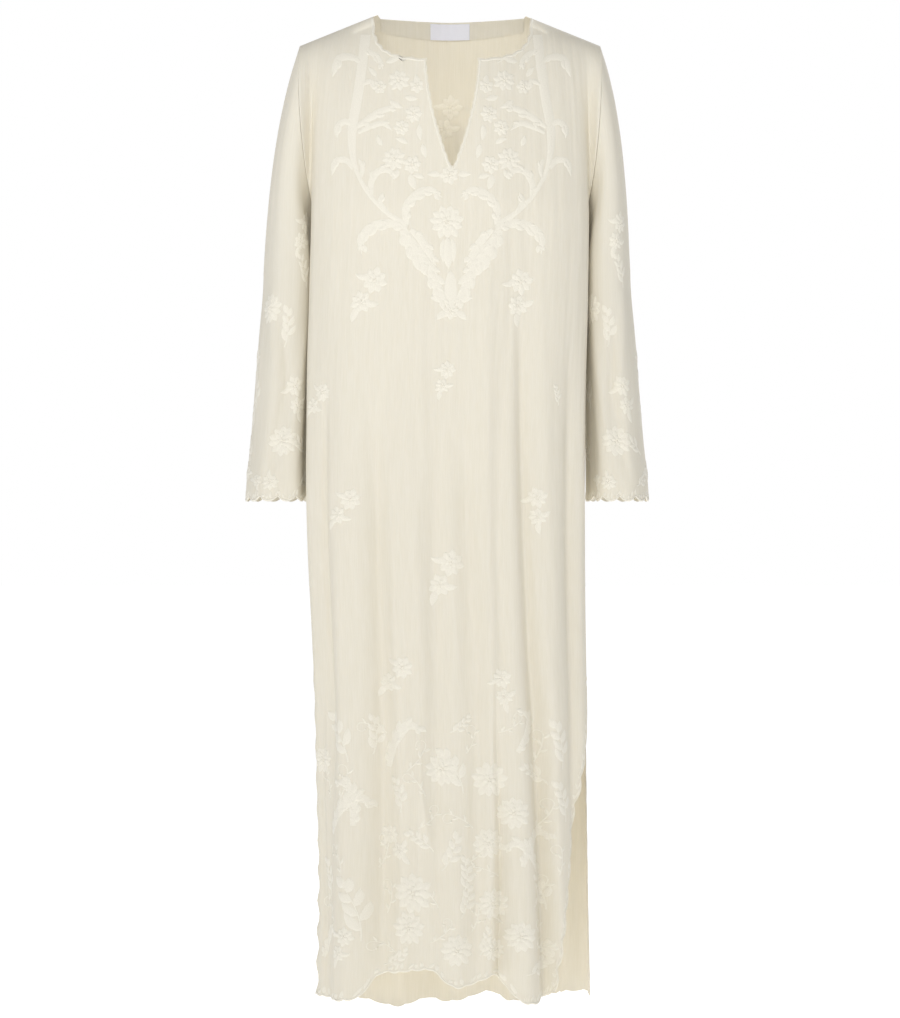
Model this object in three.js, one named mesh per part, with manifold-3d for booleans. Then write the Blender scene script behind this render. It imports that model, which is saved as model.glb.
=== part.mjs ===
// A long ivory kaftan of thin cotton, shown filled out as it is worn, with no wearer in it.
// It has a front and a back panel, two set-in sleeves, a facing inside the back neck and a plain
// woven neck label. The neck is round with a deep notch, both lower sides are slit, and the neck,
// cuffs, slits and hem are scalloped.
// Millimetres, +Z up, the front faces -Y. The origin is on the wearer's shoulders, at the middle of
// the neck opening and level with the points where the shoulder seams meet it.
import * as THREE from "three";
import { mergeVertices } from "three/addons/utils/BufferGeometryUtils.js";
import Module from "manifold-3d";

const wasm = await Module();
wasm.setup();

const CLOTH = 1.6; // the wall that stands for the cloth
const SEAM_GAP = 0.2; // each edge at a seam stops this far short of it
const CHEST_Z = -260; // level of the underarm, where the side seams start
const SLIT_Z = -842; // level of the top of the side slits
const SLIT_OPENS = 60; // below a slit's top, its edges reach their own places within this length
const NECK_X = 103; // half the width of the neck at the shoulder seams
const NECK_MIDDLE = 3; // the neck lies this far to the picture's right
const SHOULDER = { x: 202, z: -40 }; // the outer end of a shoulder seam
const SLOPE = -SHOULDER.z / (SHOULDER.x - NECK_X);
const SEAM_ANGLE = 101; // where the side seam lies round the body, from the front centre, in degrees
const SIDE_Y = -30; // the body is widest this far in front of the side seams

const smooth = (t) => t * t * (3 - 2 * t);
const rise = (from, to, x) => smooth(Math.min(1, Math.max(0, (x - from) / (to - from))));
const mix = (a, b, t) => a + (b - a) * t;
const radians = (degrees) => (degrees * Math.PI) / 180;
const bump = (x) => Math.exp(-x * x);
const spread = (from, to, steps) => Array.from({ length: steps + 1 }, (_, k) => mix(from, to, k / steps));

// The value of a column of a table at a place between its rows, with no corner at a row.
function lookUp(rows, key, column, at) {
  const last = rows.length - 1;
  const down = rows[0][key] > rows[last][key] ? -1 : 1;
  if ((at - rows[0][key]) * down <= 0) return rows[0][column];
  if ((at - rows[last][key]) * down >= 0) return rows[last][column];
  const i = rows.findIndex((row, k) => k < last && (at - rows[k + 1][key]) * down <= 0);
  const slope = (k) => {
    if (k <= 0 || k >= last) return 0;
    return (rows[k + 1][column] - rows[k - 1][column]) / (rows[k + 1][key] - rows[k - 1][key]);
  };
  const step = rows[i + 1][key] - rows[i][key];
  const t = (at - rows[i][key]) / step;
  const [t2, t3] = [t * t, t * t * t];
  return (
    (2 * t3 - 3 * t2 + 1) * rows[i][column] +
    (t3 - 2 * t2 + t) * step * slope(i) +
    (3 * t2 - 2 * t3) * rows[i + 1][column] +
    (t3 - t2) * step * slope(i + 1)
  );
}

// The hanging body, from the chest to below the hem: its half width, how far its front and back lie
// from the middle, how far it swings to the wearer's left, and, in degrees round the body, where the
// slit's edges lie on the picture's right side.
const BODY = [
  { z: -260, half: 186, front: 112, back: 104, swing: 0, frontEdge: 101, backEdge: 101 },
  { z: -380, half: 187, front: 112, back: 101, swing: -2, frontEdge: 101, backEdge: 101 },
  { z: -500, half: 187, front: 110, back: 98, swing: -5, frontEdge: 101, backEdge: 101 },
  { z: -660, half: 186, front: 108, back: 97, swing: -5, frontEdge: 101, backEdge: 101 },
  { z: -842, half: 182, front: 108, back: 99, swing: 0, frontEdge: 101, backEdge: 101 },
  { z: -930, half: 180.5, front: 109, back: 101, swing: 3, frontEdge: 90, backEdge: 99 },
  { z: -1020, half: 180, front: 110, back: 103, swing: 4, frontEdge: 75, backEdge: 97 },
  { z: -1130, half: 180, front: 114, back: 108, swing: 5, frontEdge: 62, backEdge: 93 },
  { z: -1220, half: 181, front: 117, back: 111, swing: 5, frontEdge: 54, backEdge: 91 },
  { z: -1350, half: 183, front: 119, back: 114, swing: 5, frontEdge: 49, backEdge: 87 },
];
const BEND = { front: 0.85, back: 0.9 }; // below 1 the body is squarer than an ellipse

// A point of the body's outline at height z, at an angle round it from the front centre.
function outline(z, angle) {
  const round = (v, bend) => Math.sign(v) * Math.pow(Math.abs(v), bend);
  const [sine, cosine] = [Math.sin(radians(angle)), Math.cos(radians(angle))];
  const bend = cosine > 0 ? BEND.front : BEND.back;
  const depth = cosine > 0 ? lookUp(BODY, "z", "front", z) + SIDE_Y : lookUp(BODY, "z", "back", z) - SIDE_Y;
  const x = lookUp(BODY, "z", "half", z) * round(sine, bend) + lookUp(BODY, "z", "swing", z);
  return new THREE.Vector2(x, SIDE_Y - depth * round(cosine, bend));
}

// The stretch of that outline that a panel covers, as points with their distance along the cloth
// from the panel's middle line.
const STRETCH_STEPS = 72;
const stretches = new Map();
function stretch(side, z) {
  const key = side + z;
  if (stretches.has(key)) return stretches.get(key);
  const open = rise(SLIT_Z, SLIT_Z - SLIT_OPENS, z);
  const edge = mix(SEAM_ANGLE, lookUp(BODY, "z", side + "Edge", z), open);
  const ends =
    side === "front"
      ? [-SEAM_ANGLE + 3 * open, edge]
      : [edge, 360 - SEAM_ANGLE - open];
  const middle = side === "front" ? 0 : 180;
  const points = [];
  for (let k = 0; k <= STRETCH_STEPS; k += 1) {
    const half = STRETCH_STEPS / 2;
    const angle = k < half ? mix(ends[0], middle, k / half) : mix(middle, ends[1], (k - half) / half);
    points.push(outline(z, angle));
  }
  const along = [0];
  for (let k = 1; k < points.length; k += 1) along.push(along[k - 1] + points[k].distanceTo(points[k - 1]));
  const zero = along[STRETCH_STEPS / 2];
  const made = { points, along: along.map((a) => a - zero) };
  stretches.set(key, made);
  return made;
}

// Where each thread of a panel hangs at height z: a share s of the panel's width and its distance a
// along the cloth from the middle line. Threads follow the folds as those drift sideways, but
// draw together towards an edge that is pulled in.
const threadLists = new Map();
function threads(side, z) {
  const key = side + z;
  if (threadLists.has(key)) return threadLists.get(key);
  const { along } = stretch(side, z);
  const chest = stretch(side, CHEST_Z).along;
  const last = STRETCH_STEPS;
  const list = FOLDS[side].map((fold) => {
    const s = fold.at[0] / chest[last];
    const most = (s < 0 ? along[0] : along[last]) * (0.5 + 0.5 * Math.abs(s));
    const a = atHeight(fold.at, z);
    return { s, a: s < 0 ? Math.max(a, most) : Math.min(a, most) };
  });
  list.unshift({ s: -1, a: along[0] + SEAM_GAP });
  list.push({ s: 1, a: along[last] - SEAM_GAP });
  threadLists.set(key, list);
  return list;
}

// The value of one column of a list at a value of another, straight between its rows.
function between(list, from, to, value) {
  const next = list.findIndex((row, k) => k > 0 && value <= row[from]);
  const k = next < 1 ? list.length - 1 : next;
  const t = (value - list[k - 1][from]) / (list[k][from] - list[k - 1][from]);
  return mix(list[k - 1][to], list[k][to], t);
}

// The point of a panel's unfolded outline at a share s of its width.
function across(side, z, s) {
  const { points, along } = stretch(side, z);
  const a = between(threads(side, z), "s", "a", s);
  const last = along.length - 1;
  const k = Math.min(last, Math.max(1, along.findIndex((v) => v > a)));
  const t = (a - along[k - 1]) / (along[k] - along[k - 1]);
  const toSeam = s < 0 ? a - along[0] : along[last] - a;
  return { place: points[k - 1].clone().lerp(points[k], t), a, toSeam: toSeam - SEAM_GAP };
}

// The hanging folds. Each row is one fold: its distance along the cloth from the panel's middle
// line at the chest, at the knee and at the hem, how far it stands out there (less than 0 is a
// trough) and how wide it is. lean carries its crest sideways, so that one flank is steep.
const FOLD_LEVELS = { chest: -300, knee: -800, hem: -1310 };
const FRONT_FOLDS = [
  { name: "left slit edge", at: [-200, -204, -214], out: [0, 2, 5], wide: 16, lean: 0 },
  { name: "left side trough", at: [-172, -173, -180], out: [0, -5, -8], wide: 15, lean: 0 },
  { name: "left hem fold", at: [-140, -140, -143], out: [1, 5, 15], wide: 28, lean: 3 },
  { name: "left trough", at: [-98, -94, -86], out: [0, -5, -12], wide: 30, lean: 0 },
  { name: "left bust fold", at: [-48, -47, -40], out: [2, 5, 4], wide: 22, lean: 0 },
  { name: "middle fold", at: [5, 5, 3], out: [0, -2, 11], wide: 32, lean: 0 },
  { name: "right bust fold", at: [54, 56, 50], out: [2, 6, 2], wide: 17, lean: 3 },
  { name: "creased trough", at: [68, 68, 68], out: [0, -3, -10], wide: 12, lean: 0 },
  { name: "right hem fold", at: [84, 86, 102], out: [1, 6, 22], wide: 20, lean: -3 },
  { name: "right trough", at: [103, 108, 126], out: [-2, -8, -17], wide: 12, lean: 0 },
  { name: "right side fold", at: [132, 138, 144], out: [1, 7, 5], wide: 16, lean: 0 },
  { name: "right side trough", at: [176, 170, 168], out: [-1, -7, -3], wide: 14, lean: 0 },
];
const BACK_FOLDS = [
  { name: "right slit edge", at: [-205, -206, -208], out: [0, 1, 9], wide: 18, lean: 0 },
  { name: "right side trough", at: [-168, -166, -172], out: [0, -5, -9], wide: 17, lean: 0 },
  { name: "right back fold", at: [-128, -126, -130], out: [1, 6, 16], wide: 26, lean: 2 },
  { name: "right back trough", at: [-84, -86, -88], out: [0, -6, -13], wide: 22, lean: 0 },
  { name: "shoulder blade fold", at: [-50, -48, -44], out: [2, 6, 12], wide: 22, lean: 0 },
  { name: "middle trough", at: [-6, -5, -2], out: [0, -6, -13], wide: 24, lean: 0 },
  { name: "second blade fold", at: [44, 42, 40], out: [2, 7, 15], wide: 22, lean: -2 },
  { name: "left back trough", at: [86, 84, 80], out: [-1, -7, -12], wide: 20, lean: 0 },
  { name: "left back fold", at: [124, 126, 122], out: [1, 6, 17], wide: 26, lean: -3 },
  { name: "left side trough", at: [170, 172, 170], out: [0, -6, -9], wide: 18, lean: 0 },
];
const FOLDS = { front: FRONT_FOLDS, back: BACK_FOLDS };

// A fold's value at height z, from its values at the chest, the knee and the hem.
function atHeight([chest, knee, hem], z) {
  const upper = rise(FOLD_LEVELS.chest, FOLD_LEVELS.knee, z);
  return mix(mix(chest, knee, upper), hem, rise(FOLD_LEVELS.knee, FOLD_LEVELS.hem, z));
}

// How far the folds carry a point out of the body's outline and along it. They die out towards the
// yoke, and within toSeam of a side seam.
const NEAR_SEAM = 28;
const SEWN_FROM = SLIT_Z - 70; // above this level a side seam starts to hold the folds
const FOLDS_START = { none: -150, whole: -330 }; // levels at which the folds begin and are whole

function folded(side, a, toSeam, z) {
  const sewn = rise(SEWN_FROM, SLIT_Z, z) * (1 - rise(0, NEAR_SEAM, toSeam));
  const faded = rise(FOLDS_START.none, FOLDS_START.whole, z) * (1 - sewn);
  let [out, along] = [0, 0];
  for (const fold of FOLDS[side]) {
    const shape = bump((a - atHeight(fold.at, z)) / fold.wide) * faded;
    out += shape * atHeight(fold.out, z);
    along += (shape * fold.lean * atHeight(fold.out, z)) / fold.wide;
  }
  return { out, along };
}

// The hem's height, by the distance along the cloth from the panel's middle line.
const FRONT_HEM = [
  { at: -260, z: -1314 },
  { at: -195, z: -1316 },
  { at: -128, z: -1312 },
  { at: -104, z: -1283 },
  { at: -78, z: -1279 },
  { at: -28, z: -1273 },
  { at: -17, z: -1284 },
  { at: 3, z: -1296 },
  { at: 30, z: -1290 },
  { at: 56, z: -1281 },
  { at: 67, z: -1294 },
  { at: 90, z: -1314 },
  { at: 112, z: -1318 },
  { at: 126, z: -1312 },
  { at: 152, z: -1303 },
];
const BACK_HEM = [
  { at: -230, z: -1318 },
  { at: -160, z: -1325 },
  { at: -118, z: -1337 },
  { at: -80, z: -1341 },
  { at: -50, z: -1332 },
  { at: -12, z: -1341 },
  { at: 14, z: -1344 },
  { at: 34, z: -1341 },
  { at: 50, z: -1345 },
  { at: 84, z: -1349 },
  { at: 120, z: -1340 },
  { at: 172, z: -1326 },
  { at: 240, z: -1312 },
];

// The yoke, from the shoulder seams down to the chest. Each thread of the cloth leaves the line of
// the shoulders, goes over the chest or the shoulder blades and ends on the body's outline.
// reach is how strongly it sets off towards its side, at the middle, the neck and the shoulder, and
// drop how strongly downwards. It arrives leaning and falling, or turning in towards the underarm.
const YOKE = {
  front: { reach: [-300, -215, -225], turn: 200, lean: -20 },
  back: { reach: [330, 200, 215], turn: -190, lean: 20 },
  drop: { x: 8, z: -50 },
  arrive: { plain: { x: 0, z: -260 }, turned: { x: -60, z: -200 } },
};
const NECK_SHARE = 0.45; // share of a panel's half width at which its thread meets the neck point
const TURN_FROM = 0.86; // share from which a thread turns back towards the underarm

function shoulderLine(share) {
  const x = SHOULDER.x * (1.25 * share - 0.25 * share * share);
  const inside = Math.max(0, NECK_X - x);
  const z = x > NECK_X ? -SLOPE * (x - NECK_X) : SLOPE * inside * (1 - (0.35 * inside) / NECK_X);
  return new THREE.Vector3(x, 0, z);
}

function yoke(side, s, t) {
  const shape = YOKE[side];
  const share = Math.abs(s);
  const hand = Math.sign(s) * (side === "front" ? 1 : -1) || 1;
  const start = shoulderLine(share);
  const { place } = across(side, CHEST_Z, s);
  const end = new THREE.Vector3(Math.abs(place.x), place.y, CHEST_Z);
  const turned = rise(TURN_FROM, 1, share);
  const outwards = rise(0, NECK_SHARE, share);
  const reach = mix(
    mix(shape.reach[0], shape.reach[1], outwards),
    shape.reach[2],
    rise(NECK_SHARE, 1, share),
  );
  const leave = new THREE.Vector3(YOKE.drop.x * share, reach, YOKE.drop.z);
  const { plain, turned: inward } = YOKE.arrive;
  const arrive = new THREE.Vector3(
    mix(plain.x, inward.x, turned),
    mix(shape.lean, shape.turn, turned),
    mix(plain.z, inward.z, turned),
  );
  const [t2, t3] = [t * t, t * t * t];
  const point = new THREE.Vector3()
    .addScaledVector(start, 2 * t3 - 3 * t2 + 1)
    .addScaledVector(leave, t3 - 2 * t2 + t)
    .addScaledVector(end, 3 * t2 - 2 * t3)
    .addScaledVector(arrive, t3 - t2);
  point.x *= hand;
  point.y += side === "front" ? -SEAM_GAP * (1 - t) : SEAM_GAP * (1 - t);
  return point;
}

const NEARBY = 0.02; // the step in s over which the cloth's direction is taken

// A point of a panel's outer face. v is the height below the shoulders in millimetres, and above
// the chest it is the same share of the thread's way down.
function panelPoint(side, s, v) {
  if (v < -CHEST_Z) {
    const t = Math.max(0, v / -CHEST_Z);
    const point = yoke(side, s, t);
    const { a, toSeam } = across(side, CHEST_Z, s);
    const { out } = folded(side, a, toSeam, mix(0, CHEST_Z, t));
    point.y += side === "front" ? -out : out;
    return point;
  }
  const { place, a, toSeam } = across(side, -v, s);
  const nearby = across(side, -v, s > 0 ? s - NEARBY : s + NEARBY).place;
  const along = place.clone().sub(nearby).normalize().multiplyScalar(s > 0 ? 1 : -1);
  const outwards = new THREE.Vector2(along.y, -along.x);
  const fold = folded(side, a, toSeam, -v);
  const moved = place.addScaledVector(outwards, fold.out).addScaledVector(along, fold.along);
  return new THREE.Vector3(moved.x, moved.y, -v);
}

// Scallops: how far the edge lies inside the line that their tips touch.
const scallop = (at, pitch, deep) => deep * (1 - Math.pow(Math.abs(Math.sin((Math.PI * at) / pitch)), 0.8));
const HEM_SCALLOP = { count: 22, deep: 2.8 };
const SLIT_SCALLOP = { pitch: 36, deep: 4.5 };
const CUFF_SCALLOP = { count: 12, deep: 7 };
const NECK_SCALLOP = { count: 14, deep: 2.2 };
const POINTS_EACH = 4; // points that draw one scallop

// A closed wall from the points of an outer face: inwards gives, for a place on it, the step to the
// inner face. faces are triangles of the outer face, and rim its open edges, as loops of points.
function wall(outer, faces, rims, inwards) {
  const count = outer.length;
  const position = [];
  for (const point of outer) position.push(...point.place.toArray());
  for (const point of outer) position.push(...point.place.clone().add(inwards(point)).toArray());
  const index = [];
  for (const [a, b, c] of faces) index.push(a, b, c, a + count, c + count, b + count);
  for (const rim of rims) {
    rim.forEach((a, k) => {
      const b = rim[(k + 1) % rim.length];
      index.push(b, a, a + count, b, a + count, b + count);
    });
  }
  const geometry = new THREE.BufferGeometry();
  geometry.setAttribute("position", new THREE.Float32BufferAttribute(position, 3));
  geometry.setIndex(index);
  return geometry;
}

// Joins two rows of points that run side by side, stepping along whichever is behind.
function zip(faces, upper, lower) {
  let [i, j] = [0, 0];
  while (i < upper.length - 1 || j < lower.length - 1) {
    const stepUpper = j === lower.length - 1 || (i < upper.length - 1 && upper[i + 1].at <= lower[j + 1].at);
    if (stepUpper) {
      faces.push([upper[i].id, lower[j].id, upper[i + 1].id]);
      i += 1;
    } else {
      faces.push([upper[i].id, lower[j].id, lower[j + 1].id]);
      j += 1;
    }
  }
}

// The net that a panel is made of. Its threads lie on the folds and between them, and its heights
// are 0 at the shoulders, 1 at the chest and 2 at the hem.
const THREAD_STEP = 13.5; // the widest step between the net's threads, at the chest
const YOKE_ROWS = [0, 8, 16, 26, 38, 52, 70, 95, 125, 160, 200, 230].map((v) => v / -CHEST_Z);
const SKIRT_ROWS = 17;
const HEIGHTS = [...YOKE_ROWS, ...spread(1, 2, SKIRT_ROWS)];

function netShares(side) {
  const list = threads(side, CHEST_Z);
  return list.slice(1).reduce(
    (shares, to, k) => {
      const steps = Math.ceil((to.a - list[k].a) / THREAD_STEP);
      return [...shares, ...spread(list[k].s, to.s, steps).slice(1)];
    },
    [-1],
  );
}

const HEM_LEVEL = -1300; // where distances along the hem are measured

// A panel: the coarse net inside, and a fine scalloped row round the slits and the hem.
function panelWall(side, hem) {
  const shares = netShares(side);
  const outer = [];
  const faces = [];
  const add = (s, v, kind) => {
    outer.push({ place: panelPoint(side, s, v), s, v, kind });
    return outer.length - 1;
  };
  const arc = (s, z) => across(side, z, s).a;
  const bottom = (s) => -lookUp(hem, "at", "z", arc(s, HEM_LEVEL));
  const drop = (s, height) => (height < 1 ? -CHEST_Z * height : mix(-CHEST_Z, bottom(s), height - 1));
  const [rows, columns] = [HEIGHTS.length, shares.length];
  const inner = [];
  for (let j = 1; j < rows - 1; j += 1) {
    const row = [];
    for (let i = 1; i < columns - 1; i += 1) {
      row.push({ id: add(shares[i], drop(shares[i], HEIGHTS[j]), "cloth"), at: shares[i] });
    }
    inner.push(row);
  }
  for (let j = 0; j < inner.length - 1; j += 1) zip(faces, inner[j], inner[j + 1]);

  const top = shares.map((s) => ({ id: add(s, 0, "shoulder"), at: s }));
  zip(faces, top, inner[0]);

  const hemRow = [];
  const hemSteps = HEM_SCALLOP.count * POINTS_EACH;
  const [hemStart, hemEnd] = [arc(-1, HEM_LEVEL), arc(1, HEM_LEVEL)];
  for (let k = 0; k <= hemSteps; k += 1) {
    const s = between(threads(side, HEM_LEVEL), "a", "s", mix(hemStart, hemEnd, k / hemSteps));
    const corner = k === 0 || k === hemSteps;
    const cut = corner ? 0 : scallop(k / POINTS_EACH, 1, HEM_SCALLOP.deep);
    hemRow.push({ id: add(s, bottom(s) - cut, "cloth"), at: s });
  }
  zip(faces, inner[inner.length - 1], hemRow);

  const sides = [-1, 1].map((hand) => {
    const levels = [];
    for (let j = 1; j < rows - 1; j += 1) {
      const v = drop(hand, HEIGHTS[j]);
      if (v < -SLIT_Z) levels.push(v);
    }
    const end = bottom(hand);
    const scallops = Math.round((end + SLIT_Z) / SLIT_SCALLOP.pitch);
    const steps = scallops * POINTS_EACH;
    for (let k = 0; k < steps; k += 1) levels.push(mix(-SLIT_Z, end, k / steps));
    const first = levels.length - steps;
    return levels.map((v, k) => {
      if (v < -CHEST_Z) return { id: add(hand, v, "armhole"), at: v };
      if (k <= first) return { id: add(hand, v, "sideSeam"), at: v };
      const cut = scallop((k - first) / POINTS_EACH, 1, SLIT_SCALLOP.deep);
      const s = between(threads(side, -v), "a", "s", arc(hand, -v) - hand * cut);
      return { id: add(s, v, "cloth"), at: v };
    });
  });
  const border = (k) => inner.map((row) => ({ id: row[k].id, at: outer[row[k].id].v }));
  const whole = (edge, upper, lower) => [
    { id: upper.id, at: 0 },
    ...edge,
    { id: lower.id, at: outer[lower.id].v },
  ];
  const [left, right] = [
    [border(0), sides[0], top[0], hemRow[0]],
    [border(inner[0].length - 1), sides[1], top[columns - 1], hemRow[hemSteps]],
  ].map(([net, edge, upper, lower]) => [whole(net, upper, lower), whole(edge, upper, lower)]);
  const sideFaces = [];
  zip(sideFaces, left[1], left[0]);
  zip(sideFaces, right[0], right[1]);
  const filled = sideFaces.filter((face) => new Set(face).size === 3);
  const all = [...faces, ...filled.map(([a, b, c]) => [a, c, b])];
  return { outer, faces: all, rim: rimOf(all) };
}

// The open edges of a set of triangles, as one loop of points in the triangles' own direction.
function rimOf(faces) {
  const next = new Map();
  const seen = new Set();
  for (const [a, b, c] of faces) for (const [p, q] of [[a, b], [b, c], [c, a]]) seen.add(p + "," + q);
  for (const edge of seen) {
    const [p, q] = edge.split(",").map(Number);
    if (!seen.has(q + "," + p)) next.set(p, q);
  }
  const loops = [];
  while (next.size) {
    const loop = [];
    let at = next.keys().next().value;
    while (next.has(at)) {
      const to = next.get(at);
      loop.push(at);
      next.delete(at);
      at = to;
    }
    loops.push(loop);
  }
  return loops;
}

// The step from an armhole's edge towards its middle. The armhole is an upright oval.
const ARMHOLE_DEEP = 52; // half its size from front to back
function armholeInwards(place, thick) {
  const high = (SHOULDER.z - CHEST_Z) / 2;
  const toMiddle = new THREE.Vector3(0, -place.y, (SHOULDER.z + CHEST_Z) / 2 - place.z);
  toMiddle.y *= high / ARMHOLE_DEEP;
  return toMiddle.setLength(thick);
}

// The step from a panel's outer face to its inner one. At a seam with another piece it lies in the
// plane of the seam, so that the two walls meet edge to edge.
const INWARDS_OVER = { s: 0.012, v: 5 }; // the steps over which the face's direction is taken
function panelInwards(side, point, thick) {
  const { s, v, kind } = point;
  if (kind === "shoulder") return new THREE.Vector3(0, 0, -thick);
  if (kind === "armhole") return armholeInwards(point.place, thick);
  if (kind === "sideSeam") {
    const hand = Math.sign(point.place.x);
    const round = outline(-v, SEAM_ANGLE + 1).sub(outline(-v, SEAM_ANGLE - 1));
    return new THREE.Vector3(-hand * round.y, round.x, 0).setLength(thick);
  }
  const [s0, s1] = [Math.max(-1, s - INWARDS_OVER.s), Math.min(1, s + INWARDS_OVER.s)];
  const [v0, v1] = [Math.max(0, v - INWARDS_OVER.v), v + INWARDS_OVER.v];
  const wide = panelPoint(side, s1, v).sub(panelPoint(side, s0, v));
  const long = panelPoint(side, s, v1).sub(panelPoint(side, s, v0));
  return wide.cross(long).setLength(thick);
}

function panel(side, hem) {
  const { outer, faces, rim } = panelWall(side, hem);
  return wall(outer, faces, rim, (point) => panelInwards(side, point, CLOTH));
}

// manifold-3d solids, for cutting the neck out of the panels.
function solidOf(geometry) {
  const bare = geometry.clone();
  for (const name of Object.keys(bare.attributes)) if (name !== "position") bare.deleteAttribute(name);
  const merged = mergeVertices(bare, 1e-4);
  return new wasm.Manifold(
    new wasm.Mesh({
      numProp: 3,
      vertProperties: merged.attributes.position.array,
      triVerts: new Uint32Array(merged.index.array),
    }),
  );
}

function geometryOf(solid) {
  const mesh = solid.getMesh();
  const geometry = new THREE.BufferGeometry();
  geometry.setAttribute("position", new THREE.BufferAttribute(new Float32Array(mesh.vertProperties), 3));
  geometry.setIndex(new THREE.BufferAttribute(new Uint32Array(mesh.triVerts), 1));
  return geometry;
}

// A shape drawn in the front view, in x and z, as a block from y0 to y1.
function block(points, y0, y1) {
  const shape = new THREE.Shape(points.map(([x, z]) => new THREE.Vector2(x, z)));
  const geometry = new THREE.ExtrudeGeometry(shape, { depth: y1 - y0, bevelEnabled: false, curveSegments: 1 });
  geometry.rotateX(Math.PI / 2);
  geometry.translate(0, y1, 0);
  return solidOf(geometry);
}

// The front neck: a rounded square that is scalloped along its edge, and a notch that narrows to a
// point in a slightly hollow curve.
const NECK = { half: 106, deep: 68, square: 3.5 };
const NOTCH = { half: 34, top: -62, tip: -215, hollow: 1.75, steps: 8 };
const ABOVE_NECK = 60; // the cutting shapes reach this far above the shoulders
const NECK_REACH = 160; // and this far to the front or back

function frontNeckShape() {
  const points = [];
  const steps = NECK_SCALLOP.count * POINTS_EACH;
  for (let k = 0; k <= steps; k += 1) {
    const angle = Math.PI * (1 + k / steps);
    const grow = scallop(k / POINTS_EACH, 1, NECK_SCALLOP.deep) - NECK_SCALLOP.deep;
    const round = (v, half) => Math.sign(v) * Math.pow(Math.abs(v), 2 / NECK.square) * (half + grow);
    const [x, z] = [round(Math.cos(angle), NECK.half), round(Math.sin(angle), NECK.deep)];
    if (Math.abs(x) > NOTCH.half) points.push([x, z]);
  }
  const middle = points.findIndex(([x]) => x > 0);
  const down = spread(0, 1, NOTCH.steps).map((t) => [
    -NOTCH.half * (1 - Math.pow(t, NOTCH.hollow)),
    mix(NOTCH.top, NOTCH.tip, t),
  ]);
  const up = down.slice(0, -1).reverse().map(([x, z]) => [-x, z]);
  points.splice(middle, 0, ...down, ...up);
  const shape = [...points, [NECK.half, ABOVE_NECK], [-NECK.half, ABOVE_NECK]];
  return shape.map(([x, z]) => [x + NECK_MIDDLE, z]);
}

const BACK_NECK_Z = -2;
const BACK_NECK_CORNER = 6;
const backNeckShape = () =>
  [
    [-NECK_X + BACK_NECK_CORNER, BACK_NECK_Z],
    [NECK_X - BACK_NECK_CORNER, BACK_NECK_Z],
    [NECK_X, BACK_NECK_Z + BACK_NECK_CORNER],
    [NECK_X, ABOVE_NECK],
    [-NECK_X, ABOVE_NECK],
    [-NECK_X, BACK_NECK_Z + BACK_NECK_CORNER],
  ].map(([x, z]) => [x + NECK_MIDDLE, z]);

function frontPanel() {
  const cloth = solidOf(panel("front", FRONT_HEM));
  return geometryOf(cloth.subtract(block(frontNeckShape(), -NECK_REACH, 0)));
}

function backPanel() {
  const cloth = solidOf(panel("back", BACK_HEM));
  return geometryOf(cloth.subtract(block(backNeckShape(), 0, NECK_REACH)));
}

// Pieces that lie inside the back neck are cut from a sheet that follows the back panel's inner
// face, deep millimetres inside its outer one.
function insideBackNeck(deep, thick, shape) {
  const outer = [];
  const faces = [];
  const shares = netShares("back").filter((s) => Math.abs(s) < FACING.share);
  const drops = YOKE_ROWS.slice(1, FACING.rows).map((height) => -CHEST_Z * height);
  const rows = drops.map((v) =>
    shares.map((s) => {
      const point = { s, v, kind: "cloth" };
      const on = panelPoint("back", s, v);
      point.place = on.add(panelInwards("back", point, deep));
      outer.push(point);
      return { id: outer.length - 1, at: s };
    }),
  );
  for (let j = 0; j < rows.length - 1; j += 1) zip(faces, rows[j], rows[j + 1]);
  const sheet = wall(outer, faces, rimOf(faces), (point) => panelInwards("back", point, thick));
  return geometryOf(solidOf(sheet).intersect(block(shape, 0, NECK_REACH)));
}

const LAYER_GAP = 0.3;
const FACING = { share: 0.62, rows: 9, half: 97, top: -2.5, deepSide: 15, deepMiddle: 22, thick: 1 };
const FACING_STEPS = 10; // points along its lower edge
const LABEL = { x: 0, wide: 54, top: -3.5, high: 20, thick: 0.8 };

function facing() {
  const lower = spread(-1, 1, FACING_STEPS).map((t) => [
    NECK_MIDDLE + FACING.half * t,
    FACING.top - mix(FACING.deepMiddle, FACING.deepSide, t * t),
  ]);
  const [left, right] = [NECK_MIDDLE - FACING.half, NECK_MIDDLE + FACING.half];
  const shape = [...lower, [right, FACING.top], [left, FACING.top]];
  return insideBackNeck(CLOTH + LAYER_GAP, FACING.thick, shape);
}

function label() {
  const [x0, x1] = [LABEL.x - LABEL.wide / 2, LABEL.x + LABEL.wide / 2];
  const [z0, z1] = [LABEL.top - LABEL.high, LABEL.top];
  const deep = CLOTH + FACING.thick + 2 * LAYER_GAP;
  return insideBackNeck(deep, LABEL.thick, [[x0, z0], [x1, z0], [x1, z1], [x0, z1]]);
}

// A sleeve hangs from its armhole, down past the elbow to a flared cuff. Its sections below the
// armhole: the middle's distance from the body's middle line, half its width and depth, and how far
// its middle lies behind the shoulder.
const SLEEVE = [
  { z: -345, x: 211.5, half: 33, back: 22, deep: 62 },
  { z: -440, x: 216, half: 35.5, back: 24, deep: 65 },
  { z: -560, x: 222, half: 39, back: 24, deep: 70 },
  { z: -655, x: 226.5, half: 42.5, back: 23, deep: 77 },
];
const LEFT_FULLER = 4; // the picture's left sleeve is this much wider and further out

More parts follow.
